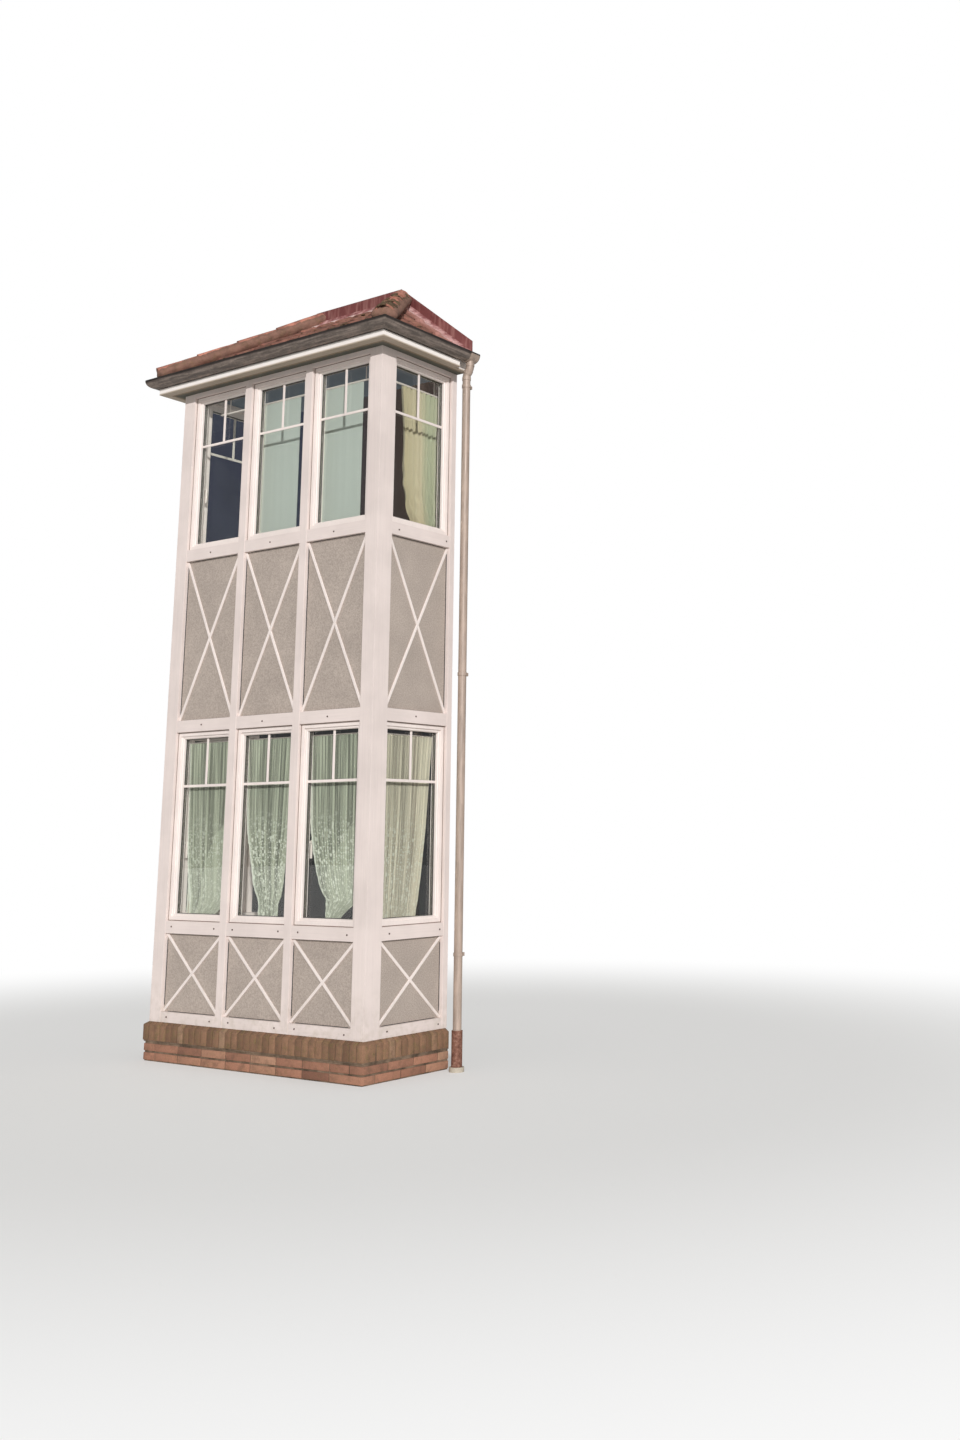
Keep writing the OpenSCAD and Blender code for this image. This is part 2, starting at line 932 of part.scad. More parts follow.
// A net in a bay of width w that narrows from top to foot, as shares of w.
module net(w, head_from, head_to, foot_from, foot_to) {
    h = net_head - net_foot;
    translate([0, net_rod_recess + net_t / 2, 0])
        rotate([90, 0, 0])
            linear_extrude(net_t)
                polygon([[w * foot_from, 0], [w * foot_to, 0],
                    [w * head_to, h], [w * head_from, h]]);
}
module lower_nets() {
    color(net_green) {
        at_front(0, net_foot)
            net(front_bay_w, 0.06, 0.94, 0.3, 0.94);
        at_front(1, net_foot)
            net(front_bay_w, 0.06, 0.94, 0.46, 0.8);
        at_front(2, net_foot)
            net(front_bay_w, 0.06, 0.94, 0.48, 0.7);
        both_sides()
            at_right(net_foot)
                net(side_bay_w, 0.06, 0.92, 0.06, 0.72);
    }
}
module upper_blinds() {
    color(blind_green)
        for (i = [1:2])
            translate([front_bay_x[i] + front_bay_w / 2 - blind_shift - blind_w / 2,
                    -bay_d + upper_rod_recess - blind_t / 2, curtain_foot])
                cube([blind_w, blind_t, curtain_head - curtain_foot]);
}
module upper_curtain() {
    h = curtain_head - curtain_foot;
    color(curtain_cream)
        translate([half_w - upper_rod_recess, -20, curtain_foot])
            rotate([90, 0, -90])
                translate([0, 0, -curtain_t / 2])
                    linear_extrude(curtain_t)
                        polygon([[0, 0], [side_bay_w * 0.5, 0],
                            [side_bay_w * 0.95, h], [0, h]]);
}

plinth_wall();
plinth_sill();
ground_floor();
upper_floor();
ceiling();
corner_posts();
front_posts();
wall_posts();
bottom_rail();
lower_sill_rail();
middle_rail();
upper_sill_rail();
head_rail();
top_plate();
lower_panels();
upper_panels();
lower_crosses();
upper_crosses();
lower_infill();
upper_infill();
lower_windows();
upper_windows();
lower_glass();
upper_glass();
lower_window_board();
upper_window_board();
soffit();
fascia();
roof_boards();
roof_tiles();
hip_tiles();
wall_flashing();
gutter_front();
gutter_left();
gutter_right();
gutter_outlet();
swan_neck();
downpipe();
pipe_brackets();
standpipe();
drain_collar();
curtain_rods();
lower_nets();
upper_blinds();
upper_curtain();
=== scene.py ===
"""A two-storey timber bay window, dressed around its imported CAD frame."""

import math
import random

import bmesh
import bpy
from mathutils import Matrix, Vector, noise


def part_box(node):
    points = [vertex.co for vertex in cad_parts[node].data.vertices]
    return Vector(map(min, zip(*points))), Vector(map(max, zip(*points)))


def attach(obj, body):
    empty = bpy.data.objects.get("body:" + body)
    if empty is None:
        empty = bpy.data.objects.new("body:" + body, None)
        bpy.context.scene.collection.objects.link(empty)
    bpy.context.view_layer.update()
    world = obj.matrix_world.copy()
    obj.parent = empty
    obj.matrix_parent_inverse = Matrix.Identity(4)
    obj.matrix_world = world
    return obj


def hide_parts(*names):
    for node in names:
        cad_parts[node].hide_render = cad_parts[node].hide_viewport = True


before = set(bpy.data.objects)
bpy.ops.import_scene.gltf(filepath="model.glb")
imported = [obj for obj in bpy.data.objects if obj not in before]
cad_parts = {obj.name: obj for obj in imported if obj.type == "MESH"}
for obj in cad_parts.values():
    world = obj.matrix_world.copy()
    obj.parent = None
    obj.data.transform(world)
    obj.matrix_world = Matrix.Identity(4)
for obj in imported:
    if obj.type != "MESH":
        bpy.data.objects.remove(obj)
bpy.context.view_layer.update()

MM = 0.001
SEED = 7135
rng = random.Random(SEED)
noise.seed_set(SEED)

# The bay's main lines, read from the frame's own nodes.
post_lo, post_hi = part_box("corner_posts")
HALF_W = post_hi.x
FRONT_Y = post_lo.y
SOFFIT_Z = post_hi.z
TIMBER_Z = post_lo.z
TILE_LO, TILE_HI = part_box("roof_tiles")
GUTTER_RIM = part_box("gutter_front")[1].z - 8 * MM
GLASS_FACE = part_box("lower_glass")[0].y - FRONT_Y
SPLASH_H = 0.45
FRONT_APRON = 120 * MM
SIDE_APRON = -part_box("wall_flashing")[0].y


# Camera and studio

SENSOR = 36.0
IMAGE_LONG = 1440
IMAGE_SHORT = 960
FOCAL_PX = 1420
CENTRE_PX = (602.4, 526.4)
CAMERA_AT = Vector((7.822, -8.016, 1.557))
CAMERA_HEADING = math.radians(34.05)
CAMERA_TILT = math.radians(12.38)
CAMERA_ROLL = math.radians(-0.39)
SUN_HEADING = math.radians(46)
SUN_HEIGHT = math.radians(17.5)
SUN_SPREAD = math.radians(1.2)
SUN_POWER = 2.95
ROOM_LIGHT = 0.38
ROOM_REFLECTED = 0.1


def link(made):
    """Puts an object in the scene."""
    bpy.context.scene.collection.objects.link(made)
    return made


def place_camera():
    data = bpy.data.cameras.new("camera")
    data.sensor_width = SENSOR
    data.lens = SENSOR * FOCAL_PX / IMAGE_LONG
    data.shift_x = (IMAGE_SHORT / 2 - CENTRE_PX[0]) / IMAGE_LONG
    data.shift_y = (CENTRE_PX[1] - IMAGE_LONG / 2) / IMAGE_LONG
    data.clip_end = 200
    camera = link(bpy.data.objects.new("camera", data))
    turn = Matrix.Rotation(CAMERA_HEADING, 4, "Z") @ Matrix.Rotation(math.pi / 2 + CAMERA_TILT, 4, "X")
    camera.matrix_world = Matrix.Translation(CAMERA_AT) @ turn @ Matrix.Rotation(CAMERA_ROLL, 4, "Z")
    bpy.context.scene.camera = camera


def place_sun():
    """A low sun from the right of the camera."""
    data = bpy.data.lights.new("key", "SUN")
    data.energy = SUN_POWER
    data.angle = SUN_SPREAD
    key = link(bpy.data.objects.new("key", data))
    turn = Matrix.Rotation(SUN_HEADING, 4, "Z")
    key.matrix_world = turn @ Matrix.Rotation(math.pi / 2 - SUN_HEIGHT, 4, "X")


def paint_world():
    """White where it is seen, a pale room for light, and a dim one for reflections."""
    world = bpy.data.worlds.new("studio")
    world.use_nodes = True
    bpy.context.scene.world = world
    tree = world.node_tree
    path = tree.nodes.new("ShaderNodeLightPath")
    level = tree.nodes.new("ShaderNodeMapRange")
    level.inputs["To Min"].default_value = ROOM_LIGHT
    level.inputs["To Max"].default_value = ROOM_REFLECTED
    tree.links.new(path.outputs["Is Glossy Ray"], level.inputs["Value"])
    seen = tree.nodes.new("ShaderNodeMath")
    seen.operation = "MAXIMUM"
    tree.links.new(level.outputs[0], seen.inputs[0])
    tree.links.new(path.outputs["Is Camera Ray"], seen.inputs[1])
    background = tree.nodes["Background"]
    background.inputs["Color"].default_value = (1, 1, 1, 1)
    tree.links.new(seen.outputs[0], background.inputs["Strength"])


# Finishes


def srgb(r, g, b):
    """A colour given as 0-255 screen values, as linear light."""
    def channel(v):
        v /= 255
        return v / 12.92 if v <= 0.04045 else ((v + 0.055) / 1.055) ** 2.4
    return (channel(r), channel(g), channel(b), 1.0)


def shade(colour, amount):
    """The colour made darker by a factor under 1, or lighter by one over 1."""
    return tuple(min(1.0, amount * c) for c in colour[:3]) + (1.0,)


class Finish:
    """One procedural material. Each method adds a step and returns its output."""

    def __init__(self, name, base, rough, metal=0.0, **sockets):
        self.material = bpy.data.materials.new(name)
        self.material.use_nodes = True
        self.tree = self.material.node_tree
        self.shader = self.tree.nodes["Principled BSDF"]
        sockets.update(Base_Color=base, Roughness=rough, Metallic=metal)
        for socket, value in sockets.items():
            self.shader.inputs[socket.replace("_", " ")].default_value = value

    def node(self, kind, settings=None, **inputs):
        """Adds a node. An input is named, or i and its number."""
        made = self.tree.nodes.new("ShaderNode" + kind)
        for key, value in (settings or {}).items():
            setattr(made, key, value)
        for key, value in inputs.items():
            socket = made.inputs[int(key[1:]) if key[1:].isdigit() else key]
            if isinstance(value, bpy.types.NodeSocket):
                self.tree.links.new(value, socket)
            else:
                socket.default_value = value
        return made

    def coords(self, source="Object"):
        return self.node("TexCoord").outputs[source]

    def along_run(self):
        """Coordinates whose first axis runs along the bay's front and its sides alike."""
        x, y, z = self.node("SeparateXYZ", Vector=self.coords()).outputs[:3]
        return self.node("CombineXYZ", i0=self.plus(x, y), i2=z).outputs[0]

    def mapped(self, scale, where=None):
        where = self.coords() if where is None else where
        return self.node("Mapping", Vector=where, Scale=scale).outputs[0]

    def streaks(self, scale, detail, rough=0.5, where=None):
        """Noise with its own scale along each axis."""
        return self.node("TexNoise", Vector=self.mapped(scale, where), Scale=1.0, Detail=detail,
                         Roughness=rough).outputs["Fac"]

    def noise(self, size, detail=4, rough=0.55, stretch=(1, 1, 1)):
        """Noise whose grains are about size metres, longer along small stretches."""
        return self.streaks([s / size for s in stretch], detail, rough)

    def grain(self, size, length, along):
        """Fine streaks: along "z" up a post, or along "run" on a rail."""
        if along == "run":
            return self.streaks((1 / length, 1 / size, 1 / size), 5, 0.6, self.along_run())
        return self.streaks((1 / size, 1 / size, 1 / length), 5, 0.6)

    def ramp(self, factor, *stops):
        """Stops are (place, colour), and a plain number is a grey."""
        made = self.node("ValToRGB", Fac=factor)
        points = made.color_ramp.elements
        while len(points) < len(stops):
            points.new(0.5)
        for point, (at, colour) in zip(points, stops):
            point.position = at
            point.color = colour if hasattr(colour, "__len__") else (colour, colour, colour, 1)
        return made.outputs["Color"]

    def shades(self, factor, base, *stops):
        """A ramp whose stops are (place, colour), and a plain number is a share of the base."""
        return self.ramp(factor, *((at, tone if hasattr(tone, "__len__") else shade(base, tone))
                                   for at, tone in stops))

    def mix(self, factor, a, b, blend="MIX"):
        return self.node("Mix", {"data_type": "RGBA", "blend_type": blend}, i0=factor, i6=a, i7=b).outputs[2]

    def mottle(self, amount, base, factor, *greys):
        """The base made darker and lighter by a ramp of greys."""
        return self.mix(amount, base, self.ramp(factor, *greys), "MULTIPLY")

    def math(self, operation, a, b):
        return self.node("Math", {"operation": operation}, i0=a, i1=b).outputs[0]

    def plus(self, a, b):
        return self.math("ADD", a, b)

    def times(self, a, b):
        return self.math("MULTIPLY", a, b)

    def attribute(self, name):
        return self.node("Attribute", {"attribute_name": name}).outputs["Fac"]

    def height(self, low, high, axis=2):
        """0 at low, 1 at high, along z or another axis."""
        part = self.node("SeparateXYZ", Vector=self.coords()).outputs[axis]
        return self.node("MapRange", i0=part, i1=low, i2=high).outputs[0]

    def set(self, socket, output):
        self.tree.links.new(output, self.shader.inputs[socket])

    def bump(self, relief, depth, strength=0.6):
        self.set("Normal", self.node("Bump", Height=relief, Distance=depth, Strength=strength).outputs[0])

    def done(self, colour, relief, depth, strength=0.6):
        """Sets the colour and the bump, and returns the material."""
        self.set("Base Color", colour)
        self.bump(relief, depth, strength)
        return self.material

    def blended(self, factor, other):
        """Mixes the shader with another one, and returns the material."""
        blend = self.node("MixShader", i0=factor, i1=self.shader.outputs[0], i2=other.outputs[0])
        self.tree.links.new(blend.outputs[0], self.tree.nodes["Material Output"].inputs["Surface"])
        return self.material


def speckled(name, base, rough, cloud, tones, grit, greys, amount, depth, strength=0.6):
    """Cloudy tones under a fine grit. cloud and grit are the settings of their noise."""
    made = Finish(name, base, rough)
    fine = made.noise(*grit)
    tint = made.mottle(amount, made.shades(made.noise(*cloud), base, *tones), fine, *greys)
    return made.done(tint, fine, depth, strength)


def rough_concrete(name, base):
    return speckled(name, base, 0.9, (0.3, 6), ((0.3, 0.8), (0.7, 1.12)), (0.006, 6, 0.7),
                    ((0.3, 0.65), (0.6, 1.0)), 0.5, 0.002)


def matt_lining(name, base):
    return speckled(name, base, 0.8, (0.5, 4), ((0.3, 0.94), (0.7, 1.0)), (0.005, 3),
                    ((0.3, 0.85), (0.6, 1.0)), 0.3, 0.0006)


def patchy(name, base, rough, metal, patch, tones, depth, relief=None):
    """Patches of a few tones. patch and relief are the settings of their noise."""
    made = Finish(name, base, rough, metal)
    patches = made.noise(*patch)
    return made.done(made.ramp(patches, *tones), made.noise(*relief) if relief else patches, depth)


def painted_timber(name, base, along):
    """Opaque wood paint with faint grain, dull patches and splashes at the foot."""
    made = Finish(name, base, 0.5)
    grain = made.grain(0.009, 0.35, along)
    blotch = made.noise(0.3, 6)
    tint = made.shades(blotch, base, (0.35, 0.92), (0.62, 1.0))
    tint = made.mottle(0.4, tint, grain, (0.32, 0.86), (0.55, 1.0))
    foot = made.ramp(made.height(TIMBER_Z, TIMBER_Z + SPLASH_H), (0.0, 1.0), (0.8, 0.0))
    dirt = made.times(foot, made.ramp(made.noise(0.05, 6), (0.45, 0.0), (0.7, 0.4)))
    made.set("Roughness", made.ramp(blotch, (0.3, 0.42), (0.7, 0.6)))
    relief = made.plus(grain, made.times(made.noise(0.004, 2), 0.5))
    return made.done(made.mix(dirt, tint, srgb(178, 166, 148)), relief, 0.0006)


def fascia_paint():
    """White paint, tan along its lowest edge. Its white is brighter than the other paint as painted light on
    the band in the gutter's shadow.
    """
    made = Finish("fascia_paint", BRIGHT_WHITE, 0.5)
    grain = made.grain(0.008, 0.4, "run")
    foot = made.ramp(made.height(SOFFIT_Z, SOFFIT_Z + 0.08), (0.06, 1.0), (0.2, 0.0))
    # The brighter white is painted light for the band that lies in the gutter's shadow.
    tint = made.mottle(0.5, srgb(246, 238, 232), grain, (0.3, 0.88), (0.55, 1.0))
    return made.done(made.mix(foot, tint, srgb(176, 160, 142)), grain, 0.0006)


def soffit_painted_shade():
    """Boards painted with shade: tan at the outer edge, darker and greenish towards the posts under the
    eaves.
    """
    made = Finish("soffit_painted_shade", srgb(146, 130, 112), 0.8)
    x, y = made.node("SeparateXYZ", Vector=made.coords()).outputs[:2]
    side = made.math("SUBTRACT", made.math("ABSOLUTE", x, 0.0), HALF_W)
    front = made.math("SUBTRACT", made.times(y, -1.0), -FRONT_Y)
    outer_edge = 78 * MM
    place = made.node("MapRange", i0=made.math("MAXIMUM", side, front), i1=0.0, i2=outer_edge).outputs[0]
    grain = made.grain(0.006, 0.5, "run")
    where = made.plus(place, made.times(made.noise(0.05, 6), 0.3))
    # Painted shade: darker and greener the further in under the overhang, tan only at the outer edge.
    tint = made.ramp(where, (0.3, srgb(84, 84, 74)), (0.85, srgb(104, 100, 88)), (1.05, srgb(150, 132, 112)))
    return made.done(made.mottle(0.6, tint, grain, (0.3, 0.7), (0.6, 1.0)), grain, 0.001)


def raw_boards():
    """The roof's weathered softwood boards."""
    base = srgb(168, 138, 106)
    made = Finish("roof_boards", base, 0.75)
    grain = made.grain(0.006, 0.5, "run")
    tint = made.shades(grain, base, (0.3, 0.66), (0.6, 1.0))
    return made.done(made.mottle(0.5, tint, made.noise(0.12, 5), (0.3, 0.7), (0.7, 1.05)), grain, 0.0015)


def fired_brick(name, dark, red, pale, moss_amount):
    """Brick faces whose colour differs from brick to brick by the tone attribute."""
    made = Finish(name, red, 0.88)
    sand = made.noise(0.006, 6, 0.7)
    body = made.shades(made.attribute("tone"), red, (0.0, dark), (0.35, red), (0.7, 1.2), (1.0, pale))
    body = made.mottle(0.7, body, sand, (0.3, 0.6), (0.62, 1.0))
    stain = made.ramp(made.noise(0.06, 6, 0.65), (0.5, 0.0), (0.7, 0.55))
    body = made.mix(stain, body, srgb(96, 72, 58))
    moss_at = made.ramp(made.noise(0.035, 7, 0.7), (0.62 - 0.25 * moss_amount, 0.0), (0.7, 1.0))
    green = made.ramp(made.noise(0.012), (0.3, srgb(84, 78, 44)), (0.7, srgb(128, 118, 66)))
    body = made.mix(made.times(moss_at, moss_amount), body, green)
    return made.done(body, made.plus(sand, made.times(moss_at, 0.7)), 0.004)


def mossy_clay(name, base, moss_amount):
    """Old clay tiles, darkened by dirt, with moss and pale lichen."""
    made = Finish(name, base, 0.85)
    dirt = made.noise(0.08, 7, 0.7)
    body = made.shades(made.attribute("tone"), base, (0.0, 0.62), (0.5, 1.0), (1.0, 1.5))
    body = made.mix(made.ramp(dirt, (0.42, 0.0), (0.62, 0.75)), body, shade(base, 0.34))
    moss_at = made.ramp(made.noise(0.06, 8, 0.72), (0.6 - 0.2 * moss_amount, 0.0), (0.68, 1.0))
    green = made.ramp(made.noise(0.01), (0.3, srgb(96, 80, 54)), (0.7, srgb(150, 126, 84)))
    body = made.mix(made.times(moss_at, moss_amount), body, green)
    lichen = made.ramp(made.noise(0.025, 6, 0.75), (0.66, 0.0), (0.7, 0.8))
    body = made.mix(lichen, body, srgb(176, 150, 134))
    return made.done(body, made.plus(dirt, made.times(moss_at, 0.8)), 0.006)


def painted_sheet(name, base, worn, streak, rough, metal=0.0):
    """Painted or weathered sheet metal with run-off streaks and dust."""
    made = Finish(name, base, rough, metal)
    cloud = made.noise(0.15, 6, 0.65)
    runs = made.noise(0.03, 5, stretch=(1, 1, 0.12))
    wear = made.times(made.ramp(runs, (0.45, 0.0), (0.7, 1.0)), streak)
    tint = made.mottle(0.7, base, cloud, (0.3, 0.72), (0.7, 1.12))
    made.set("Roughness", made.ramp(cloud, (0.3, rough - 0.1), (0.7, rough + 0.15)))
    return made.done(made.mix(wear, tint, worn), cloud, 0.0015, 0.4)


def weathered_gutter():
    """Dark coated gutter metal with dust along the belly, and a nearly black band under the rim that is
    painted shadow of the tiles' edge.
    """
    base = srgb(116, 104, 96)
    made = Finish("weathered_gutter", base, 0.5, 0.1)
    streak = made.streaks((4, 30, 60), 6, 0.65, made.along_run())
    tint = made.shades(streak, base, (0.4, 0.62), (0.5, 1.0), (0.6, 1.6))
    drips = made.noise(0.02, 5, stretch=(1, 1, 0.1))
    tint = made.mottle(0.5, tint, drips, (0.35, 0.6), (0.6, 1.05))
    # Painted shadow: a nearly black band just under the rim, where the tiles' edge shades the gutter.
    lip = made.ramp(made.height(GUTTER_RIM - 26 * MM, GUTTER_RIM), (0.1, 0.0), (0.6, 0.9))
    made.set("Roughness", made.ramp(streak, (0.3, 0.38), (0.7, 0.62)))
    return made.done(made.mix(lip, tint, srgb(38, 32, 31)), streak, 0.0012, 0.4)


def dusty_apron():
    """Sheet dressed over the tiles: rust-brown out on the tiles, chalky in its middle,
    and dull red where it turns up the wall."""
    made = Finish("dusty_apron", srgb(190, 146, 138), 0.7)
    wash = made.noise(0.06, 7, 0.7)
    scatter = made.times(made.math("SUBTRACT", wash, 0.5), 0.9)
    place = made.plus(made.height(-SIDE_APRON, 0.0, axis=1), scatter)
    tint = made.ramp(place, (0.0, srgb(146, 96, 82)), (0.32, srgb(184, 132, 122)),
                     (0.56, srgb(230, 202, 196)), (0.82, srgb(190, 144, 140)), (1.0, srgb(132, 76, 74)))
    streak = made.noise(0.016, 5, stretch=(1, 1, 0.25))
    return made.done(made.mottle(0.6, tint, streak, (0.35, 0.62), (0.6, 1.08)), wash, 0.002, 0.5)


def window_glass():
    """Clear float glass with a faint green cast, which lets the lamps through."""
    tint = srgb(254, 255, 254)
    made = Finish("window_glass", tint, 0.0, IOR=1.4, Transmission_Weight=1.0)
    path = made.node("LightPath")
    soft = made.math("MAXIMUM", path.outputs["Is Shadow Ray"], path.outputs["Is Diffuse Ray"])
    return made.blended(soft, made.node("BsdfTransparent", Color=tint))


def woven(made, uv, size):
    """The over and under of threads, size metres apart, on a cloth's own map."""
    threads = []
    for axis, scale in (("X", (0.3 / size, 1, 1)), ("Y", (1, 0.3 / size, 1))):
        bands = {"wave_type": "BANDS", "bands_direction": axis}
        where = made.mapped(scale, uv)
        threads.append(made.node("TexWave", bands, Vector=where, Scale=1.0, Distortion=0.6).outputs["Fac"])
    return made.times(*threads)


def thin_cloth(name, base, stripes, see_through, backlight):
    """Net or blind cloth on its own map: u across the folds and v up, in metres."""
    made = Finish(name, base, 0.9, Sheen_Weight=0.2, Alpha=1.0 - see_through)
    uv = made.coords("UV")
    weave = woven(made, uv, 2 * MM)
    stripe = made.streaks((46, 0.6, 1), 4, where=uv)
    tint = made.mottle(stripes, base, stripe, (0.36, 0.42), (0.5, 0.95), (0.62, 1.5))
    tint = made.mottle(0.25, tint, weave, (0.1, 0.75), (0.7, 1.0))
    tint = made.mix(made.times(made.attribute("lap"), 0.45), tint, shade(base, 1.6))
    large, small = (made.node("TexVoronoi", Vector=made.mapped((per_m, per_m, 1), uv), Scale=1.0)
                    .outputs["Distance"] for per_m in (20, 55))
    flower = made.math("MAXIMUM", made.ramp(large, (0.2, 1.0), (0.34, 0.0)),
                       made.ramp(small, (0.24, 0.9), (0.42, 0.0)))
    flower = made.times(flower, made.attribute("lace"))
    white = srgb(238, 240, 226)
    tint = made.mix(made.times(flower, 0.9), tint, white)
    tint = made.mix(made.times(made.attribute("hem"), 0.8), tint, white)
    made.done(tint, made.plus(weave, flower), 0.0005)
    return made.blended(backlight, made.node("BsdfTranslucent", Color=base))


def curtain_cloth():
    """Heavier cloth, cream at its free edge and pale green towards the wall."""
    made = Finish("curtain_cloth", srgb(214, 198, 160), 0.9, Sheen_Weight=0.2)
    uv = made.coords("UV")
    weave = woven(made, uv, 3 * MM)
    along = made.node("SeparateXYZ", Vector=uv).outputs[0]
    place = made.plus(along, made.times(made.streaks((9, 0.3, 1), 3, where=uv), 0.25))
    tint = made.ramp(place, (0.1, srgb(184, 171, 141)), (0.45, srgb(190, 178, 150)),
                     (0.62, srgb(170, 172, 146)), (0.85, srgb(178, 178, 152)))
    return made.done(made.mottle(0.3, tint, weave, (0.1, 0.75), (0.7, 1.0)), weave, 0.0005)


def studio_floor():
    """Pale grey round the bay, fading into the white of the room further out."""
    made = Finish("studio_floor", srgb(236, 235, 232), 0.9)
    made.bump(made.noise(0.01, 3), 0.0004, 0.2)
    away = made.node("VectorMath", {"operation": "LENGTH"}, i0=made.coords()).outputs["Value"]
    smooth = {"interpolation_type": "SMOOTHSTEP"}
    fade = made.node("MapRange", smooth, i0=away, i1=3.5, i2=9.0, i3=0.3).outputs[0]
    seen = made.times(fade, made.node("LightPath").outputs["Is Camera Ray"])
    return made.blended(seen, made.node("Emission", Color=(1, 1, 1, 1), Strength=1.0))


def dark_room():
    """A dim glow that paints the shade of the unlit room beyond the bay, seen only through the panes."""
    made = Finish("dark_room", (0, 0, 0, 1), 1.0, Emission_Strength=1.0)
    left, right = -1.0, 0.6
    floor_foot, floor_top = 2.4, 2.8
    upstairs = made.ramp(made.height(left, right, axis=0), (0.2, srgb(50, 54, 73)), (0.8, srgb(66, 56, 52)))
    level = made.ramp(made.height(floor_foot, floor_top), (0.4, 0.0), (0.6, 1.0))
    tint = made.mix(level, srgb(44, 44, 46), upstairs)
    # Painted shade: the glow is bluish to the left and brown to the right, and lights nothing.
    made.set("Emission Color", made.mottle(0.8, tint, made.noise(0.8, 3), (0.3, 0.6), (0.7, 1.1)))
    return made.material


WHITE = srgb(227, 213, 207)
BRIGHT_WHITE = srgb(236, 224, 218)
paint_up = painted_timber("paint_upright", WHITE, "z")
paint_run = painted_timber("paint_level", WHITE, "run")
paint_trim = painted_timber("paint_trim", BRIGHT_WHITE, "z")
eaves_paint = fascia_paint()
panel = speckled("panel_board", srgb(172, 159, 149), 0.85, (0.25, 5), ((0.3, 0.92), (0.7, 1.08)),
                 (0.009, 5, 0.75), ((0.38, 0.7), (0.52, 0.98), (0.64, 1.2)), 0.8, 0.0012, 0.8)
lining = matt_lining("matt_lining", srgb(128, 116, 106))
# Slate blue: painted shade of the dim room and painted sky reflection in the panes, not the ceiling's own
# colour.
ceiling_painted_shade = matt_lining("ceiling_painted_shade", srgb(110, 121, 135))
slab_concrete = rough_concrete("slab_concrete", srgb(158, 153, 145))
collar_concrete = rough_concrete("collar_concrete", srgb(186, 176, 160))
# Sealant brown, dark enough to paint the shade line where the frames meet the posts and rails.
sealant = rough_concrete("sealant", srgb(134, 112, 100))
brick = fired_brick("brick_face", srgb(132, 92, 74), srgb(158, 112, 90), srgb(178, 138, 112), 0.35)
sill_brick = fired_brick("brick_on_edge", srgb(110, 81, 61), srgb(138, 104, 80), srgb(158, 127, 102), 0.55)
mortar = speckled("mortar", srgb(140, 118, 98), 0.95, (0.09, 5), ((0.35, srgb(82, 68, 54)), (0.65, 1.0)),
                  (0.003, 5, 0.75), ((0.3, 0.6), (0.6, 1.0)), 0.6, 0.002)
tile_clay = mossy_clay("tile_clay", srgb(142, 94, 80), 0.5)
hip_clay = mossy_clay("hip_clay", srgb(178, 118, 100), 0.3)
bedding = mossy_clay("hip_mortar", srgb(168, 124, 106), 0.45)
moss = speckled("moss_cushion", srgb(120, 104, 52), 0.95, (0.05, 4),
                ((0.35, srgb(84, 66, 48)), (0.55, srgb(110, 88, 64)), (0.75, srgb(134, 108, 80))),
                (0.003, 5, 0.7), ((0.3, 0.5), (0.65, 1.0)), 0.7, 0.004, 1.0)
zinc_pipe = painted_sheet("zinc_pipe", srgb(177, 157, 143), srgb(136, 122, 112), 0.7, 0.5, 0.1)
gutter_sheet = weathered_gutter()
red_flashing = painted_sheet("red_flashing", srgb(116, 62, 60), srgb(170, 124, 116), 0.6, 0.6)
lead_apron = dusty_apron()
# Dark spacer metal, made darker to paint the shade along the panes' edges.
spacer_painted_shade = painted_sheet("spacer_metal_and_shade", srgb(84, 80, 70), srgb(70, 66, 60), 0.3, 0.5, 0.2)
steel_screw = patchy("steel_screw", srgb(70, 60, 54), 0.5, 0.6, (0.004, 5),
                     ((0.4, srgb(60, 54, 52)), (0.65, srgb(104, 66, 46))), 0.0005)
rusty_iron = patchy("rusty_iron", srgb(120, 84, 70), 0.8, 0.3, (0.02, 8, 0.7),
                    ((0.35, srgb(96, 60, 48)), (0.55, srgb(138, 96, 80)), (0.72, srgb(170, 140, 122))), 0.002)
gasket = patchy("rubber_gasket", srgb(34, 34, 36), 0.7, 0.0, (0.02, 5),
                ((0.4, srgb(30, 30, 32)), (0.7, srgb(74, 72, 70))), 0.0003, (0.002, 2))
glass = window_glass()
room_dark = dark_room()


# Making pieces

FLAT_ABOVE = 10


def add_object(name, bm, material):
    """Turns a bmesh into an object of one material."""
    mesh = bpy.data.meshes.new(name)
    bm.to_mesh(mesh)
    bm.free()
    mesh.materials.append(material)
    return link(bpy.data.objects.new(name, mesh))


def finish_piece(name, bm, material, replaces=(), smooth=32):
    """Turns a bmesh into one piece that rides with the bay."""
    bm.normal_update()
    made = add_object(name, bm, material)
    made.data.shade_smooth()
    made.data.set_sharp_from_angle(angle=math.radians(smooth))
    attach(made, "root")
    if replaces:
        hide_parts(*replaces)
    return made


def soften(bm, edges, width, segments=2, clamp=False):
    """Rounds edges off, and returns the new vertices."""
    return bmesh.ops.bevel(bm, geom=edges, offset=width, offset_type="OFFSET", affect="EDGES",
                           segments=segments, profile=0.5, material=-1, clamp_overlap=clamp)["verts"]


def block(bm, a, b, bevel=0.0, segments=1, skew=None):
    """Adds a box between two corners, with eased edges, and returns its vertices."""
    low = Vector(map(min, a, b))
    high = Vector(map(max, a, b))
    verts = bmesh.ops.create_cube(bm, size=1.0)["verts"]
    bmesh.ops.scale(bm, vec=high - low, verts=verts)
    if skew:
        bmesh.ops.rotate(bm, matrix=skew, verts=verts)
    bmesh.ops.translate(bm, vec=(low + high) / 2, verts=verts)
    if bevel:
        verts = soften(bm, list({e for v in verts for e in v.link_edges}), bevel, segments)
    return verts


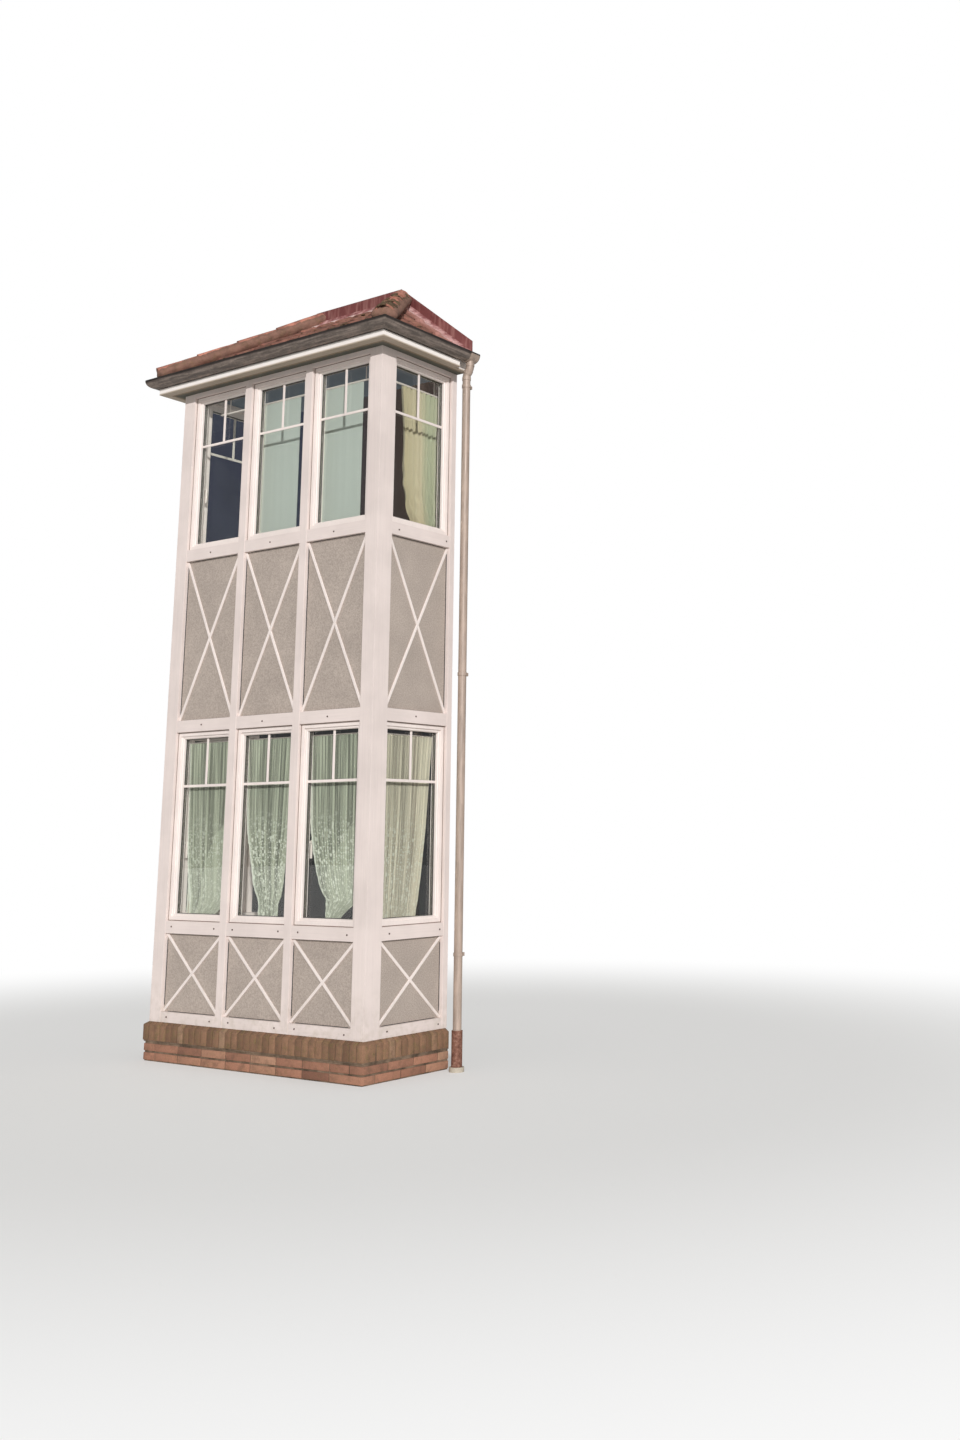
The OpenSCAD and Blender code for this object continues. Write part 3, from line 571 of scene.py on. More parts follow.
def add_to(bm, part):
    """Moves a bmesh's shape into another bmesh."""
    mesh = bpy.data.meshes.new("part")
    part.to_mesh(mesh)
    part.free()
    bm.from_mesh(mesh)
    bpy.data.meshes.remove(mesh)


MIRROR = Vector((-1, 1, 1))


def mirror_into(bm):
    """Adds the shape's own mirror image on the other side of the bay."""
    twin = bm.copy()
    bmesh.ops.scale(twin, vec=MIRROR, verts=twin.verts)
    bmesh.ops.reverse_faces(twin, faces=twin.faces[:])
    add_to(bm, twin)


def toned_bmesh():
    """An empty bmesh whose faces have a tone, and that layer."""
    bm = bmesh.new()
    return bm, bm.faces.layers.float.new("tone")


def cut_off(bm, point, normal):
    """Takes away what lies beyond a plane, and returns the open rim."""
    cut = bmesh.ops.bisect_plane(bm, geom=bm.verts[:] + bm.edges[:] + bm.faces[:], plane_co=point,
                                 plane_no=normal, clear_outer=True)
    return [e for e in cut["geom_cut"] if isinstance(e, bmesh.types.BMEdge)]


def trim(bm, cuts, fill=True):
    """Cuts a bmesh by planes given as (point, outward normal), and closes the cuts."""
    for point, normal in cuts:
        rim = cut_off(bm, point, normal)
        if fill and rim:
            bmesh.ops.holes_fill(bm, edges=rim, sides=0)


def merged_copy(node):
    """A node's mesh with its doubles merged and its flat faces whole again."""
    bm = bmesh.new()
    bm.from_mesh(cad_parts[node].data)
    bmesh.ops.remove_doubles(bm, verts=bm.verts, dist=0.01 * MM)
    bmesh.ops.dissolve_limit(bm, angle_limit=math.radians(1), verts=bm.verts, edges=bm.edges)
    return bm


def sharp_edges(bm, degrees):
    return [e for e in bm.edges if len(e.link_faces) == 2 and e.calc_face_angle() > math.radians(degrees)]


def solids_of(node):
    """The boxes of a node's separate solids, as (low, high)."""
    bm = merged_copy(node)
    waiting = set(bm.verts)
    boxes = []
    while waiting:
        found = [waiting.pop()]
        for vert in found:
            for edge in vert.link_edges:
                other = edge.other_vert(vert)
                if other in waiting:
                    waiting.discard(other)
                    found.append(other)
        places = [v.co.copy() for v in found]
        boxes.append((Vector(map(min, *places)), Vector(map(max, *places))))
    bm.free()
    return sorted(boxes, key=lambda box: (box[0].x, box[0].z))


def eased(node, material, width=1.5 * MM, segments=2):
    """Replaces a timber node by its own shape with softened arrises."""
    bm = merged_copy(node)
    soften(bm, sharp_edges(bm, 20), width, segments, clamp=True)
    return finish_piece(node + "_timber", bm, material, [node], smooth=FLAT_ABOVE)


def dress(node, material):
    """Gives a node that keeps its own shape its finish."""
    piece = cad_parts[node]
    piece.data.materials.clear()
    piece.data.materials.append(material)


class Bay:
    """One of the five bays. across runs to the right seen from outside on the front
    and on the right side, deep runs into the house from the posts' face."""

    def __init__(self, low, high):
        self.low, self.high = low, high
        self.side = "front" if high.y - low.y < high.x - low.x else ("right" if low.x > 0 else "left")
        self.width = high.x - low.x if self.side == "front" else high.y - low.y

    def at(self, across, deep, up):
        if self.side == "front":
            return Vector((self.low.x + across, FRONT_Y + deep, up))
        x = HALF_W - deep
        return Vector((x if self.side == "right" else -x, self.low.y + across, up))

    def block(self, bm, a, b, bevel=0.0, segments=1):
        return block(bm, self.at(*a), self.at(*b), bevel, segments)

    def ring(self, bm, outer, inner, face, back, bevel):
        """A rectangular ring round the window, between two distances from the bay's edge."""
        low, high, width = self.low.z, self.high.z, self.width
        for z in ((low + outer, low + inner), (high - inner, high - outer)):
            self.block(bm, (outer, face, z[0]), (width - outer, back, z[1]), bevel)
        for x in ((outer, inner), (width - inner, width - outer)):
            self.block(bm, (x[0], face, low + inner), (x[1], back, high - inner), bevel)


LOWER_BAYS = [Bay(*box) for box in solids_of("lower_windows")]
UPPER_BAYS = [Bay(*box) for box in solids_of("upper_windows")]
LOWER_FRONT, UPPER_FRONT = ([bay for bay in bays if bay.side == "front"] for bays in (LOWER_BAYS, UPPER_BAYS))


# Timber, panels and windows


def timber_frame():
    for node in ("corner_posts", "front_posts", "wall_posts"):
        eased(node, paint_up, 2 * MM)
    for node in ("bottom_rail", "lower_sill_rail", "middle_rail", "upper_sill_rail", "head_rail"):
        eased(node, paint_run)
    for node in ("lower_crosses", "upper_crosses"):
        batten_crosses(node)
    for node in ("lower_windows", "upper_windows"):
        eased(node, paint_trim, 0.8 * MM, 1)
    for node in ("lower_window_board", "upper_window_board"):
        eased(node, paint_run, 3 * MM)
    dress("top_plate", paint_run)
    for node in ("lower_panels", "upper_panels"):
        dress(node, panel)
    for node in ("lower_infill", "upper_infill"):
        dress(node, lining)
    dress("ceiling", ceiling_painted_shade)
    for node in ("ground_floor", "upper_floor"):
        dress(node, slab_concrete)


BATTEN_W = 20 * MM
BATTEN_T = 10 * MM


def batten_crosses(node):
    """Two slim battens corner to corner in each bay: one runs through, the other is cut against it."""
    bm = bmesh.new()
    boxes = solids_of(node)
    front_high = next(high for low, high in boxes if Bay(low, high).side == "front")
    back = front_high.y - FRONT_Y
    for low, high in boxes:
        bay = Bay(low, high)
        tall = high.z - low.z
        turn = math.atan2(tall, bay.width)
        reach = math.hypot(bay.width, tall) / 2 + BATTEN_W
        middle = Vector((bay.width / 2, 0, (low.z + high.z) / 2))
        beside = Vector((-math.sin(turn), 0, math.cos(turn)))
        edges = [(low, (0, 0, -1)), (high, (0, 0, 1)), ((0, 0, 0), (-1, 0, 0)),
                 ((bay.width, 0, 0), (1, 0, 0))]
        pieces = [(-1, -reach, reach, [])]
        for way in (-1, 1):
            start, end = sorted((0, way * reach))
            off = beside * way
            pieces.append((1, start, end, [(middle - off * (BATTEN_W / 2 + 0.2 * MM), off)]))
        for lean, start, end, cuts in pieces:
            one = bmesh.new()
            verts = block(one, (start, back - BATTEN_T, -BATTEN_W / 2), (end, back, BATTEN_W / 2))
            bmesh.ops.rotate(one, matrix=Matrix.Rotation(lean * turn, 3, "Y"), verts=verts)
            bmesh.ops.translate(one, vec=middle, verts=verts)
            trim(one, edges + cuts)
            soften(one, one.edges[:], 2 * MM, clamp=True)
            for vert in one.verts:
                vert.co = bay.at(*vert.co)
            bmesh.ops.recalc_face_normals(one, faces=one.faces[:])
            add_to(bm, one)
    finish_piece(node + "_timber", bm, paint_trim, [node], smooth=FLAT_ABOVE)


def panel_gaps():
    """Thin dark seams where each panel meets the posts and rails, clear of the battens; they also paint the
    shade that falls into those gaps.
    """
    bm = bmesh.new()
    face, back = 28.6 * MM, 29.8 * MM
    wide, clear = 8 * MM, 45 * MM
    for foot, head in (("bottom_rail", "lower_sill_rail"), ("middle_rail", "upper_sill_rail")):
        low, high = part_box(foot)[1].z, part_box(head)[0].z
        for bay in LOWER_BAYS:
            for z in ((low, low + wide / 2), (high - wide / 2, high)):
                bay.block(bm, (clear, face, z[0]), (bay.width - clear, back, z[1]), 0.3 * MM)
            for x in ((0, wide), (bay.width - wide, bay.width)):
                bay.block(bm, (x[0], face, low + clear), (x[1], back, high - clear), 0.3 * MM)
    finish_piece("panel_gaps", bm, gasket)


FRAME_W = 50 * MM
GLASS_UNIT = 24 * MM
GLASS_BACK = GLASS_FACE + GLASS_UNIT
SHEET_T = 4 * MM
BAR_W = 19 * MM
BAR_T = 8 * MM
BAR_DROP = 350 * MM


def glazing(name, bays, node):
    """Two sheets of glass a pane, a spacer round their edge and rubber strips."""
    edge = 38.3 * MM
    rubber_in, rubber_out = FRAME_W - 2 * MM, FRAME_W + 2.5 * MM
    sheets = bmesh.new()
    spacer = bmesh.new()
    strips = bmesh.new()
    for bay in bays:
        low, high = bay.low.z, bay.high.z
        for face in (GLASS_FACE, GLASS_FACE + GLASS_UNIT - SHEET_T - 0.6 * MM):
            bay.block(sheets, (edge, face, low + edge), (bay.width - edge, face + SHEET_T, high - edge),
                      0.5 * MM)
        inner = GLASS_FACE + SHEET_T + 0.2 * MM
        bay.ring(spacer, edge, edge + 14 * MM, inner, inner + GLASS_UNIT - 2 * SHEET_T - 1 * MM, 0.5 * MM)
        bay.ring(strips, rubber_in, rubber_out, GLASS_FACE - 4 * MM, GLASS_FACE - 0.2 * MM, 0.8 * MM)
        bay.ring(strips, rubber_in, rubber_out, GLASS_BACK - 0.4 * MM, GLASS_BACK + 3 * MM, 0.8 * MM)
    finish_piece(name + "_sheets", sheets, glass, [node])
    finish_piece(name + "_spacers", spacer, spacer_painted_shade)
    finish_piece(name + "_gaskets", strips, gasket)


def glazing_bars(name, bays):
    """An upside-down T on the outer face of the glass: a level bar and a short upright."""
    bm = bmesh.new()
    face = GLASS_FACE - BAR_T
    half = BAR_W / 2
    gap = 0.5 * MM
    for bay in bays:
        top = bay.high.z - FRAME_W
        level = top - BAR_DROP
        middle = bay.width / 2
        bay.block(bm, (FRAME_W + gap, face, level - half),
                  (bay.width - FRAME_W - gap, GLASS_FACE, level + half), 2 * MM, 2)
        bay.block(bm, (middle - half, face, level + half + 0.2 * MM),
                  (middle + half, GLASS_FACE, top - gap), 2 * MM, 2)
    finish_piece(name, bm, paint_trim, smooth=FLAT_ABOVE)


def sealant_beads():
    """A thin bead of dark sealant where each window frame meets the posts and rails; its darkness also paints
    the shade along that joint.
    """
    bm = bmesh.new()
    for bays, node in ((LOWER_BAYS, "lower_windows"), (UPPER_BAYS, "upper_windows")):
        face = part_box(node)[0].y - FRONT_Y
        for bay in bays:
            bay.ring(bm, 0.2 * MM, 5 * MM, face - 2 * MM, face - 0.1 * MM, 0.4 * MM)
    finish_piece("sealant_beads", bm, sealant)


def screw_head(bm, place, outward):
    """A pan-head screw with a dimple, pointing outward."""
    radius, depth = 6.5 * MM, 3.5 * MM
    verts = bmesh.ops.create_cone(bm, cap_ends=True, segments=12, radius1=radius, radius2=radius * 0.7,
                                  depth=depth)["verts"]
    top = max((f for v in verts for f in v.link_faces), key=lambda f: f.calc_center_median().z)
    slot = bmesh.ops.inset_individual(bm, faces=[top], thickness=radius * 0.35, depth=-1.2 * MM)
    verts = list({v for f in slot["faces"] for v in f.verts} | set(verts))
    turn = Vector((0, 0, 1)).rotation_difference(outward).to_matrix()
    bmesh.ops.rotate(bm, matrix=turn, verts=verts)
    bmesh.ops.translate(bm, vec=place + outward * depth / 2, verts=verts)


def rail_screws():
    """One screw in the middle of the rails over the windows, two in the sill rails."""
    bm = bmesh.new()
    rail_back = 2 * MM
    rows = [("upper_sill_rail", (0.47,)), ("middle_rail", (0.47,)), ("lower_sill_rail", (0.11, 0.9)),
            ("bottom_rail", (0.11, 0.9))]
    for node, shares in rows:
        for box in solids_of(node):
            bay = Bay(*box)
            middle = (bay.low.z + bay.high.z) / 2
            outward = bay.at(0, 0, 0) - bay.at(0, 1, 0)
            for share in shares if bay.side == "front" or node == "middle_rail" else (0.12, 0.94):
                place = bay.at(share * bay.width, rail_back, middle + rng.uniform(-4, 4) * MM)
                screw_head(bm, place, outward)
    finish_piece("rail_screws", bm, steel_screw)


def window_handles():
    """White lever handles inside the opening lights, hanging down on the left stile."""
    bm = bmesh.new()
    middle, back = 26 * MM, 101.2 * MM
    plate = (13, 0, 9, 0.07, 0.14, 4)
    neck = (7, 9.1, 34, 0.105, 0.119, 4)
    lever = (10, 34.1, 46, 0, 0.125, 5)
    lower_foot, upper_foot = 1.43, 4.17
    handles = ((LOWER_FRONT[0], lower_foot), (LOWER_FRONT[2], lower_foot), (UPPER_FRONT[0], upper_foot))
    for bay, foot in handles:
        for half, near, far, low, high, bevel in (plate, neck, lever):
            bay.block(bm, (middle - half * MM, back + near * MM, foot + low),
                      (middle + half * MM, back + far * MM, foot + high), bevel * MM, 3)
    finish_piece("window_handles", bm, paint_trim)


# Brickwork

COURSE = 62.5 * MM
JOINT = 10 * MM
BRICK_L = 240 * MM
BRICK_W = 115 * MM
BRICK_H = 50 * MM
SILL_DEEP = 125 * MM


def lay_brick(bm, a, b, cuts=()):
    """One brick, slightly out of true, trimmed by planes given as (point, normal)."""
    skew = Matrix.Rotation(rng.uniform(-0.006, 0.006), 3, "Z")
    skew = skew @ Matrix.Rotation(rng.uniform(-0.004, 0.004), 3, "Y")
    one, tone = toned_bmesh()
    block(one, a, b, skew=skew)
    for point, normal in cuts:
        rim = cut_off(one, point, normal)
        if rim:
            bmesh.ops.contextual_create(one, geom=rim)
    soften(one, one.edges[:], 3 * MM)
    for vert in one.verts:
        vert.co += noise.noise_vector(vert.co * 90) * 0.9 * MM
    shade_of = rng.random()
    for face in one.faces:
        face[tone] = shade_of
    add_to(bm, one)


def course(start, end, first):
    """Brick ends along a course, with joints, the first brick of a given length."""
    runs = []
    at = start
    length = first
    while at < end - JOINT:
        stop = min(at + length, end)
        if end - stop < 60 * MM:
            stop = end
        runs.append((at, stop))
        at = stop + JOINT
        length = BRICK_L
    return runs


def mortar_core(name, node, deep, recess, below):
    """The mortar inside a U of bricks, set back from their faces and below their tops."""
    low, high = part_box(node)
    x, y = high.x, low.y
    top = high.z - below
    bm = bmesh.new()
    block(bm, (-x + recess, y + recess, low.z), (x - recess, y + deep - 2 * MM, top))
    for side in (-1, 1):
        block(bm, (side * (x - recess), y + deep, low.z), (side * (x - deep + 2 * MM), -1 * MM, top))
    finish_piece(name, bm, mortar, [node])
    return x, y


def plinth():
    """Stretcher courses round the U of the plinth, over a recessed mortar core."""
    t = BRICK_W
    x, y = mortar_core("plinth_mortar", "plinth_wall", t, 7 * MM, 1 * MM)
    bm = toned_bmesh()[0]
    for row in range(2):
        z0 = 8 * MM + row * COURSE
        z1 = z0 + BRICK_H
        odd = row % 2
        front_end = x - (t + JOINT) * odd
        for a, b in course(-front_end, front_end, BRICK_L if odd else BRICK_W):
            lay_brick(bm, (a, y, z0), (b, y + t, z1))
        side_start = y + (t + JOINT) * (1 - odd)
        for a, b in course(side_start, -1 * MM, BRICK_L):
            for side in (-1, 1):
                lay_brick(bm, (side * x, a, z0), (side * (x - t), b, z1))
    finish_piece("plinth_bricks", bm, brick, ["plinth_wall"])


def brick_on_edge_sill():
    """Bricks on edge round the plinth, with their tops worn to a slope."""
    x, y = mortar_core("sill_mortar", "plinth_sill", SILL_DEEP, 9 * MM, 24 * MM)
    low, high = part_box("plinth_sill")
    slope_at = high.z - 20 * MM
    rise = high.z - slope_at
    front_cut = ((0, y, slope_at), (0, -rise, FRONT_Y - y))
    side_cuts = {s: ((s * x, 0, slope_at), (s * rise, 0, x - HALF_W)) for s in (-1, 1)}
    bm = toned_bmesh()[0]
    z0, z1 = low.z + 9 * MM, high.z
    count = round(2 * x / COURSE)
    pitch = 2 * x / count
    for i in range(count):
        a = -x + i * pitch + JOINT / 2
        cuts = [front_cut] + [side_cuts[s] for s in (-1, 1) if s * (a + pitch / 2) > x - 2 * pitch]
        lay_brick(bm, (a, y, z0), (a + pitch - JOINT, y + SILL_DEEP, z1), cuts)
    start = y + SILL_DEEP + JOINT
    count = round(-start / COURSE)
    pitch = -start / count
    for i in range(count):
        a = start + i * pitch
        for s in (-1, 1):
            lay_brick(bm, (s * x, a, z0), (s * (x - SILL_DEEP), a + pitch - JOINT, z1), [side_cuts[s]])
    finish_piece("sill_bricks", bm, sill_brick, ["plinth_sill"])


# Roof


class Slope:
    """A roof plane: along its eave, up its slope, and out of it."""

    def __init__(self, eave_a, eave_b, top):
        self.origin = Vector(eave_a)
        run = Vector(eave_b) - self.origin
        self.length = run.length
        self.along = run.normalized()
        rise = Vector(top) - self.origin
        rise -= self.along * rise.dot(self.along)
        self.reach = rise.length
        self.up = rise.normalized()
        self.out = self.along.cross(self.up)
        if self.out.z < 0:
            self.out = -self.out

    def at(self, a, s, h):
        return self.origin + self.along * a + self.up * s + self.out * h


RIDGE_HALF = 470 * MM
EAVE_Z = 5200 * MM
HIP_FOOT = Vector((TILE_HI.x, TILE_LO.y, EAVE_Z))
HIP_TOP = Vector((RIDGE_HALF, 0, TILE_HI.z))
FRONT_SLOPE = Slope(HIP_FOOT * MIRROR, HIP_FOOT, HIP_TOP * MIRROR)
RIGHT_SLOPE = Slope(HIP_FOOT, (TILE_HI.x, 0, EAVE_Z), HIP_TOP)
HIP = (HIP_TOP - HIP_FOOT).normalized()
HIP_LENGTH = (HIP_TOP - HIP_FOOT).length
HIP_SIDE = Vector((-HIP.y, HIP.x, 0)).normalized()
HIP_PLANE = -HIP_SIDE
HIP_UP = HIP.cross(HIP_SIDE)
HIP_UP = HIP_UP if HIP_UP.z > 0 else -HIP_UP
HIP_CAPS = 4
CAP_T = 12 * MM
BEDDING_WIDE = 1.62
HIP_TUFTS = 60
FRONT_TUFTS = 46
SIDE_TUFTS = 16
TILE_PITCH = 203 * MM
TILE_WAVE = 20 * MM
TILE_LIFT = 16 * MM
TILE_GAUGE = 290 * MM
TILE_LAP = 70 * MM
TILE_T = 11 * MM
APRON_T = 3 * MM
WALL_CUT = ((0, -1 * MM, 0), (0, 1, 0))
APRON_CUT = ((0, -3 * MM, 0), (0, 1, 0))


def tile_height(a):
    """The wave of the pantiles across a course: narrow rolls and wide pans."""
    return -TILE_WAVE * (1 - (0.5 + 0.5 * math.cos(2 * math.pi * a / TILE_PITCH)) ** 1.6)


def tile_surface(slope, a, s):
    """How high the tiles stand over the slope's plane at a place."""
    gauge = slope.reach / math.ceil(slope.reach / TILE_GAUGE)
    return tile_height(a) - TILE_LIFT * (s % gauge) / (gauge + TILE_LAP) - 2 * MM


def tile_courses(bm, slope, cuts):
    """Courses of pantiles on one slope, each lifted over the one below."""
    per_tile = 8
    tiles = math.ceil(slope.length / TILE_PITCH)
    rows = math.ceil(slope.reach / TILE_GAUGE)
    for row in range(rows):
        low = row * slope.reach / rows
        high = min(slope.reach, low + slope.reach / rows + TILE_LAP)
        one, tone = toned_bmesh()
        bmesh.ops.create_grid(one, x_segments=tiles * per_tile, y_segments=6, size=0.5)
        tones = [rng.random() for tile in range(tiles + 1)]
        shifts = [rng.uniform(-3, 3) * MM for tile in range(tiles + 1)]
        for face in one.faces:
            face[tone] = tones[int((face.calc_center_median().x + 0.5) * tiles)]
        for vert in one.verts:
            a = (vert.co.x + 0.5) * tiles * TILE_PITCH
            v = vert.co.y + 0.5
            s = low + (high - low) * v + (shifts[int(a / TILE_PITCH)] if v < 0.01 and row else 0)
            h = tile_height(a) + TILE_LIFT * (1 - v) - TILE_LIFT - 2 * MM
            vert.co = slope.at(a, max(s, 0), h)
        bmesh.ops.solidify(one, geom=one.faces[:], thickness=TILE_T)
        trim(one, cuts)
        bmesh.ops.recalc_face_normals(one, faces=one.faces[:])
        add_to(bm, one)


def tiled_roof():
    bm = toned_bmesh()[0]
    tile_courses(bm, FRONT_SLOPE, [WALL_CUT, (HIP_FOOT, HIP_PLANE), (HIP_FOOT * MIRROR, HIP_PLANE * MIRROR)])
    side = toned_bmesh()[0]
    tile_courses(side, RIGHT_SLOPE, [WALL_CUT, (HIP_FOOT, -HIP_PLANE)])
    mirror_into(side)
    add_to(bm, side)
    finish_piece("pantiles", bm, tile_clay, ["roof_tiles"], smooth=40)


def divide_lengthwise(bm, longer, cuts):
    """Divides the edges that run further than a length up an upright tube."""
    rising = [e for e in bm.edges if abs(e.verts[0].co.z - e.verts[1].co.z) > longer]
    bmesh.ops.subdivide_edges(bm, edges=rising, cuts=cuts)


def hip_tube(bm, r_low, r_high, start, length):
    """Adds an open tapered tube whose axis lies on the hip, from start up the hip."""
    bmesh.ops.create_cone(bm, cap_ends=False, segments=28, radius1=r_low, radius2=r_high, depth=length)
    divide_lengthwise(bm, length / 2, 5)
    turn = Vector((0, 0, 1)).rotation_difference(HIP).to_matrix()
    bmesh.ops.rotate(bm, matrix=turn, verts=bm.verts)
    bmesh.ops.translate(bm, vec=HIP_FOOT + HIP * (start + length / 2), verts=bm.verts)


def hip_caps():
    """Tapered half-round caps, each lapped over the one below."""
    bm = toned_bmesh()[0]
    pitch = HIP_LENGTH / HIP_CAPS
    for i in range(HIP_CAPS):
        one, tone = toned_bmesh()
        r_high, lap = (76 * MM, 105 * MM) if i == HIP_CAPS - 1 else (63 * MM, 55 * MM)
        hip_tube(one, 75 * MM, r_high, i * pitch + 2 * MM, pitch + lap)
        trim(one, [(HIP_FOOT - HIP_UP * 26 * MM, -HIP_UP)], fill=False)
        bmesh.ops.solidify(one, geom=one.faces[:], thickness=CAP_T)
        for vert in one.verts:
            vert.co += noise.noise_vector(vert.co * 14) * 2 * MM
        trim(one, [WALL_CUT])
        bmesh.ops.recalc_face_normals(one, faces=one.faces[:])
        shade_of = rng.random()
        for face in one.faces:
            face[tone] = shade_of
        add_to(bm, one)
    mirror_into(bm)
    finish_piece("hip_caps", bm, hip_clay, ["hip_tiles"], smooth=45)


def hip_bedding():
    """The lumpy mortar that the hip caps are laid in, wider than they are, with a rounded nose."""
    bm = bmesh.new()
    bmesh.ops.create_cone(bm, cap_ends=True, segments=30, radius1=60 * MM, radius2=56 * MM,
                          depth=HIP_LENGTH + 130 * MM)
    divide_lengthwise(bm, 0.5, 90)
    bmesh.ops.scale(bm, vec=(BEDDING_WIDE, 1, 1), verts=bm.verts)
    bmesh.ops.rotate(bm, matrix=Matrix((HIP_SIDE, HIP_UP, HIP)).transposed(), verts=bm.verts)
    bmesh.ops.translate(bm, vec=(HIP_FOOT + HIP_TOP) / 2 + HIP * 49 * MM, verts=bm.verts)
    for vert in bm.verts:
        lump = noise.fractal(vert.co * 24, 1.0, 2.0, 3)
        away = vert.co - HIP_FOOT
        away -= HIP * away.dot(HIP)
        if away.length:
            vert.co += away.normalized() * (lump - 0.4) * 9 * MM
        nose = (12 * MM - (vert.co - HIP_FOOT).dot(HIP)) / (28 * MM)
        if nose > 0:
            vert.co -= away * (1 - math.sqrt(max(0.0, 1 - min(nose, 0.95) ** 2)))
    trim(bm, [(HIP_FOOT - HIP_UP * 52 * MM, -HIP_UP), WALL_CUT])
    bmesh.ops.recalc_face_normals(bm, faces=bm.faces[:])
    mirror_into(bm)
    finish_piece("hip_bedding", bm, bedding, smooth=60)


def sheet_grid(bm, slope, a0, a1, s0, s1, across, up, lift, ragged):
    """A thin metal sheet dressed over the tiles between two places along and up a slope."""
    edge_a, edge_s = ragged
    for vert in bmesh.ops.create_grid(bm, x_segments=across, y_segments=up, size=0.5)["verts"]:
        u, v = vert.co.x + 0.5, vert.co.y + 0.5
        a = a0 + (a1 - a0) * u
        s = s0 + (s1 - s0) * v
        a += edge_a * (1 - u) * noise.noise(Vector((s * 9, 2, 0)))
        s += edge_s * (1 - v) * noise.noise(Vector((a * 9, 7, 0)))
        wrinkle = noise.noise(Vector((a * 30, s * 30, 3))) * 1.2 * MM
        vert.co = slope.at(a, max(s, 0), lift(a, s) + wrinkle)


def dressed(slope, a, s, near_wall):
    """Beaten down on to the tiles, and rising a little where it turns up the wall."""
    tiles = max(tile_surface(slope, a, s), tile_surface(slope, a, s + 14 * MM))
    return (tiles + APRON_T) * (1 - near_wall) + 7 * MM * near_wall


def over_front(a, s):
    return dressed(FRONT_SLOPE, a, s, max(0.0, 1 - (FRONT_SLOPE.reach - s) / 0.05))


def over_side(a, s):
    return dressed(RIGHT_SLOPE, a, s, max(0.0, 1 - (RIGHT_SLOPE.length - a) / 0.06))


def flashing():
    """The red upstand on the wall, and the pale aprons dressed over the tiles below it."""
    bm = merged_copy("wall_flashing")
    trim(bm, [((0, -7 * MM, 0), (0, -1, 0))])
    soften(bm, sharp_edges(bm, 30), 1 * MM, clamp=True)
    finish_piece("flashing_upstand", bm, red_flashing, ["wall_flashing"])
    reach, length = FRONT_SLOPE.reach, RIGHT_SLOPE.length
    foot = reach - FRONT_APRON * (reach / -TILE_LO.y)
    inset = HIP_PLANE * 40 * MM
    bm = bmesh.new()
    sheet_grid(bm, FRONT_SLOPE, 0, FRONT_SLOPE.length, foot, reach, 150, 10, over_front, (0, 14 * MM))
    trim(bm, [APRON_CUT, (HIP_FOOT - inset, HIP_PLANE), ((HIP_FOOT - inset) * MIRROR, HIP_PLANE * MIRROR)],
         fill=False)
    side = bmesh.new()
    sheet_grid(side, RIGHT_SLOPE, length - SIDE_APRON, length, 0, RIGHT_SLOPE.reach, 26, 80, over_side,
               (22 * MM, 0))
    trim(side, [APRON_CUT, (HIP_FOOT + inset, -HIP_PLANE)], fill=False)
    mirror_into(side)
    add_to(bm, side)
    for face in bm.faces:
        if face.normal.z < 0:
            face.normal_flip()
    bmesh.ops.solidify(bm, geom=bm.faces[:], thickness=APRON_T)
    bmesh.ops.recalc_face_normals(bm, faces=bm.faces[:])
    finish_piece("flashing_apron", bm, lead_apron, ["wall_flashing"], smooth=50)


def moss_tufts():
    """Cushions of moss on the hips, the tiles' lower edges and the pans."""
    bm = bmesh.new()
    spots = []
    for i in range(HIP_TUFTS):
        up = rng.random() ** 1.4 * 1.25
        angle = rng.uniform(-1.2, 1.2)
        away = HIP_UP * math.cos(angle) + HIP_SIDE * math.sin(angle)
        spots.append((HIP_FOOT + HIP * up + away * 73 * MM, away, rng.uniform(9, 24) * MM))
    hip_clear = -0.06
    for slope, count in ((FRONT_SLOPE, FRONT_TUFTS), (RIGHT_SLOPE, SIDE_TUFTS)):
        front = slope is FRONT_SLOPE
        while count:
            a = rng.uniform(0.05, slope.length - 0.05)
            s = rng.random() ** 3 * slope.reach * 0.8
            place = slope.at(a, s, tile_height(a) + 2 * MM)
            if (place - HIP_FOOT).dot(HIP_PLANE) * (1 if front else -1) > hip_clear:
                continue
            if not front and place.y > -SIDE_APRON - 0.03:
                continue
            if front and (place * MIRROR - HIP_FOOT).dot(HIP_PLANE) > hip_clear:
                continue
            spots.append((place, slope.out, (5 + 18 * rng.random() ** 3) * MM))
            count -= 1
    for place, out, radius in spots:
        verts = bmesh.ops.create_icosphere(bm, subdivisions=2, radius=radius)["verts"]
        for vert in verts:
            vert.co *= 1 + 0.35 * noise.noise(vert.co / radius * 1.7 + place * 40)
        bmesh.ops.scale(bm, vec=(1.2, 1.2, 0.42), verts=verts)
        bmesh.ops.rotate(bm, matrix=Vector((0, 0, 1)).rotation_difference(out).to_matrix(), verts=verts)
        bmesh.ops.translate(bm, vec=place, verts=verts)
    finish_piece("moss_tufts", bm, moss, smooth=180)


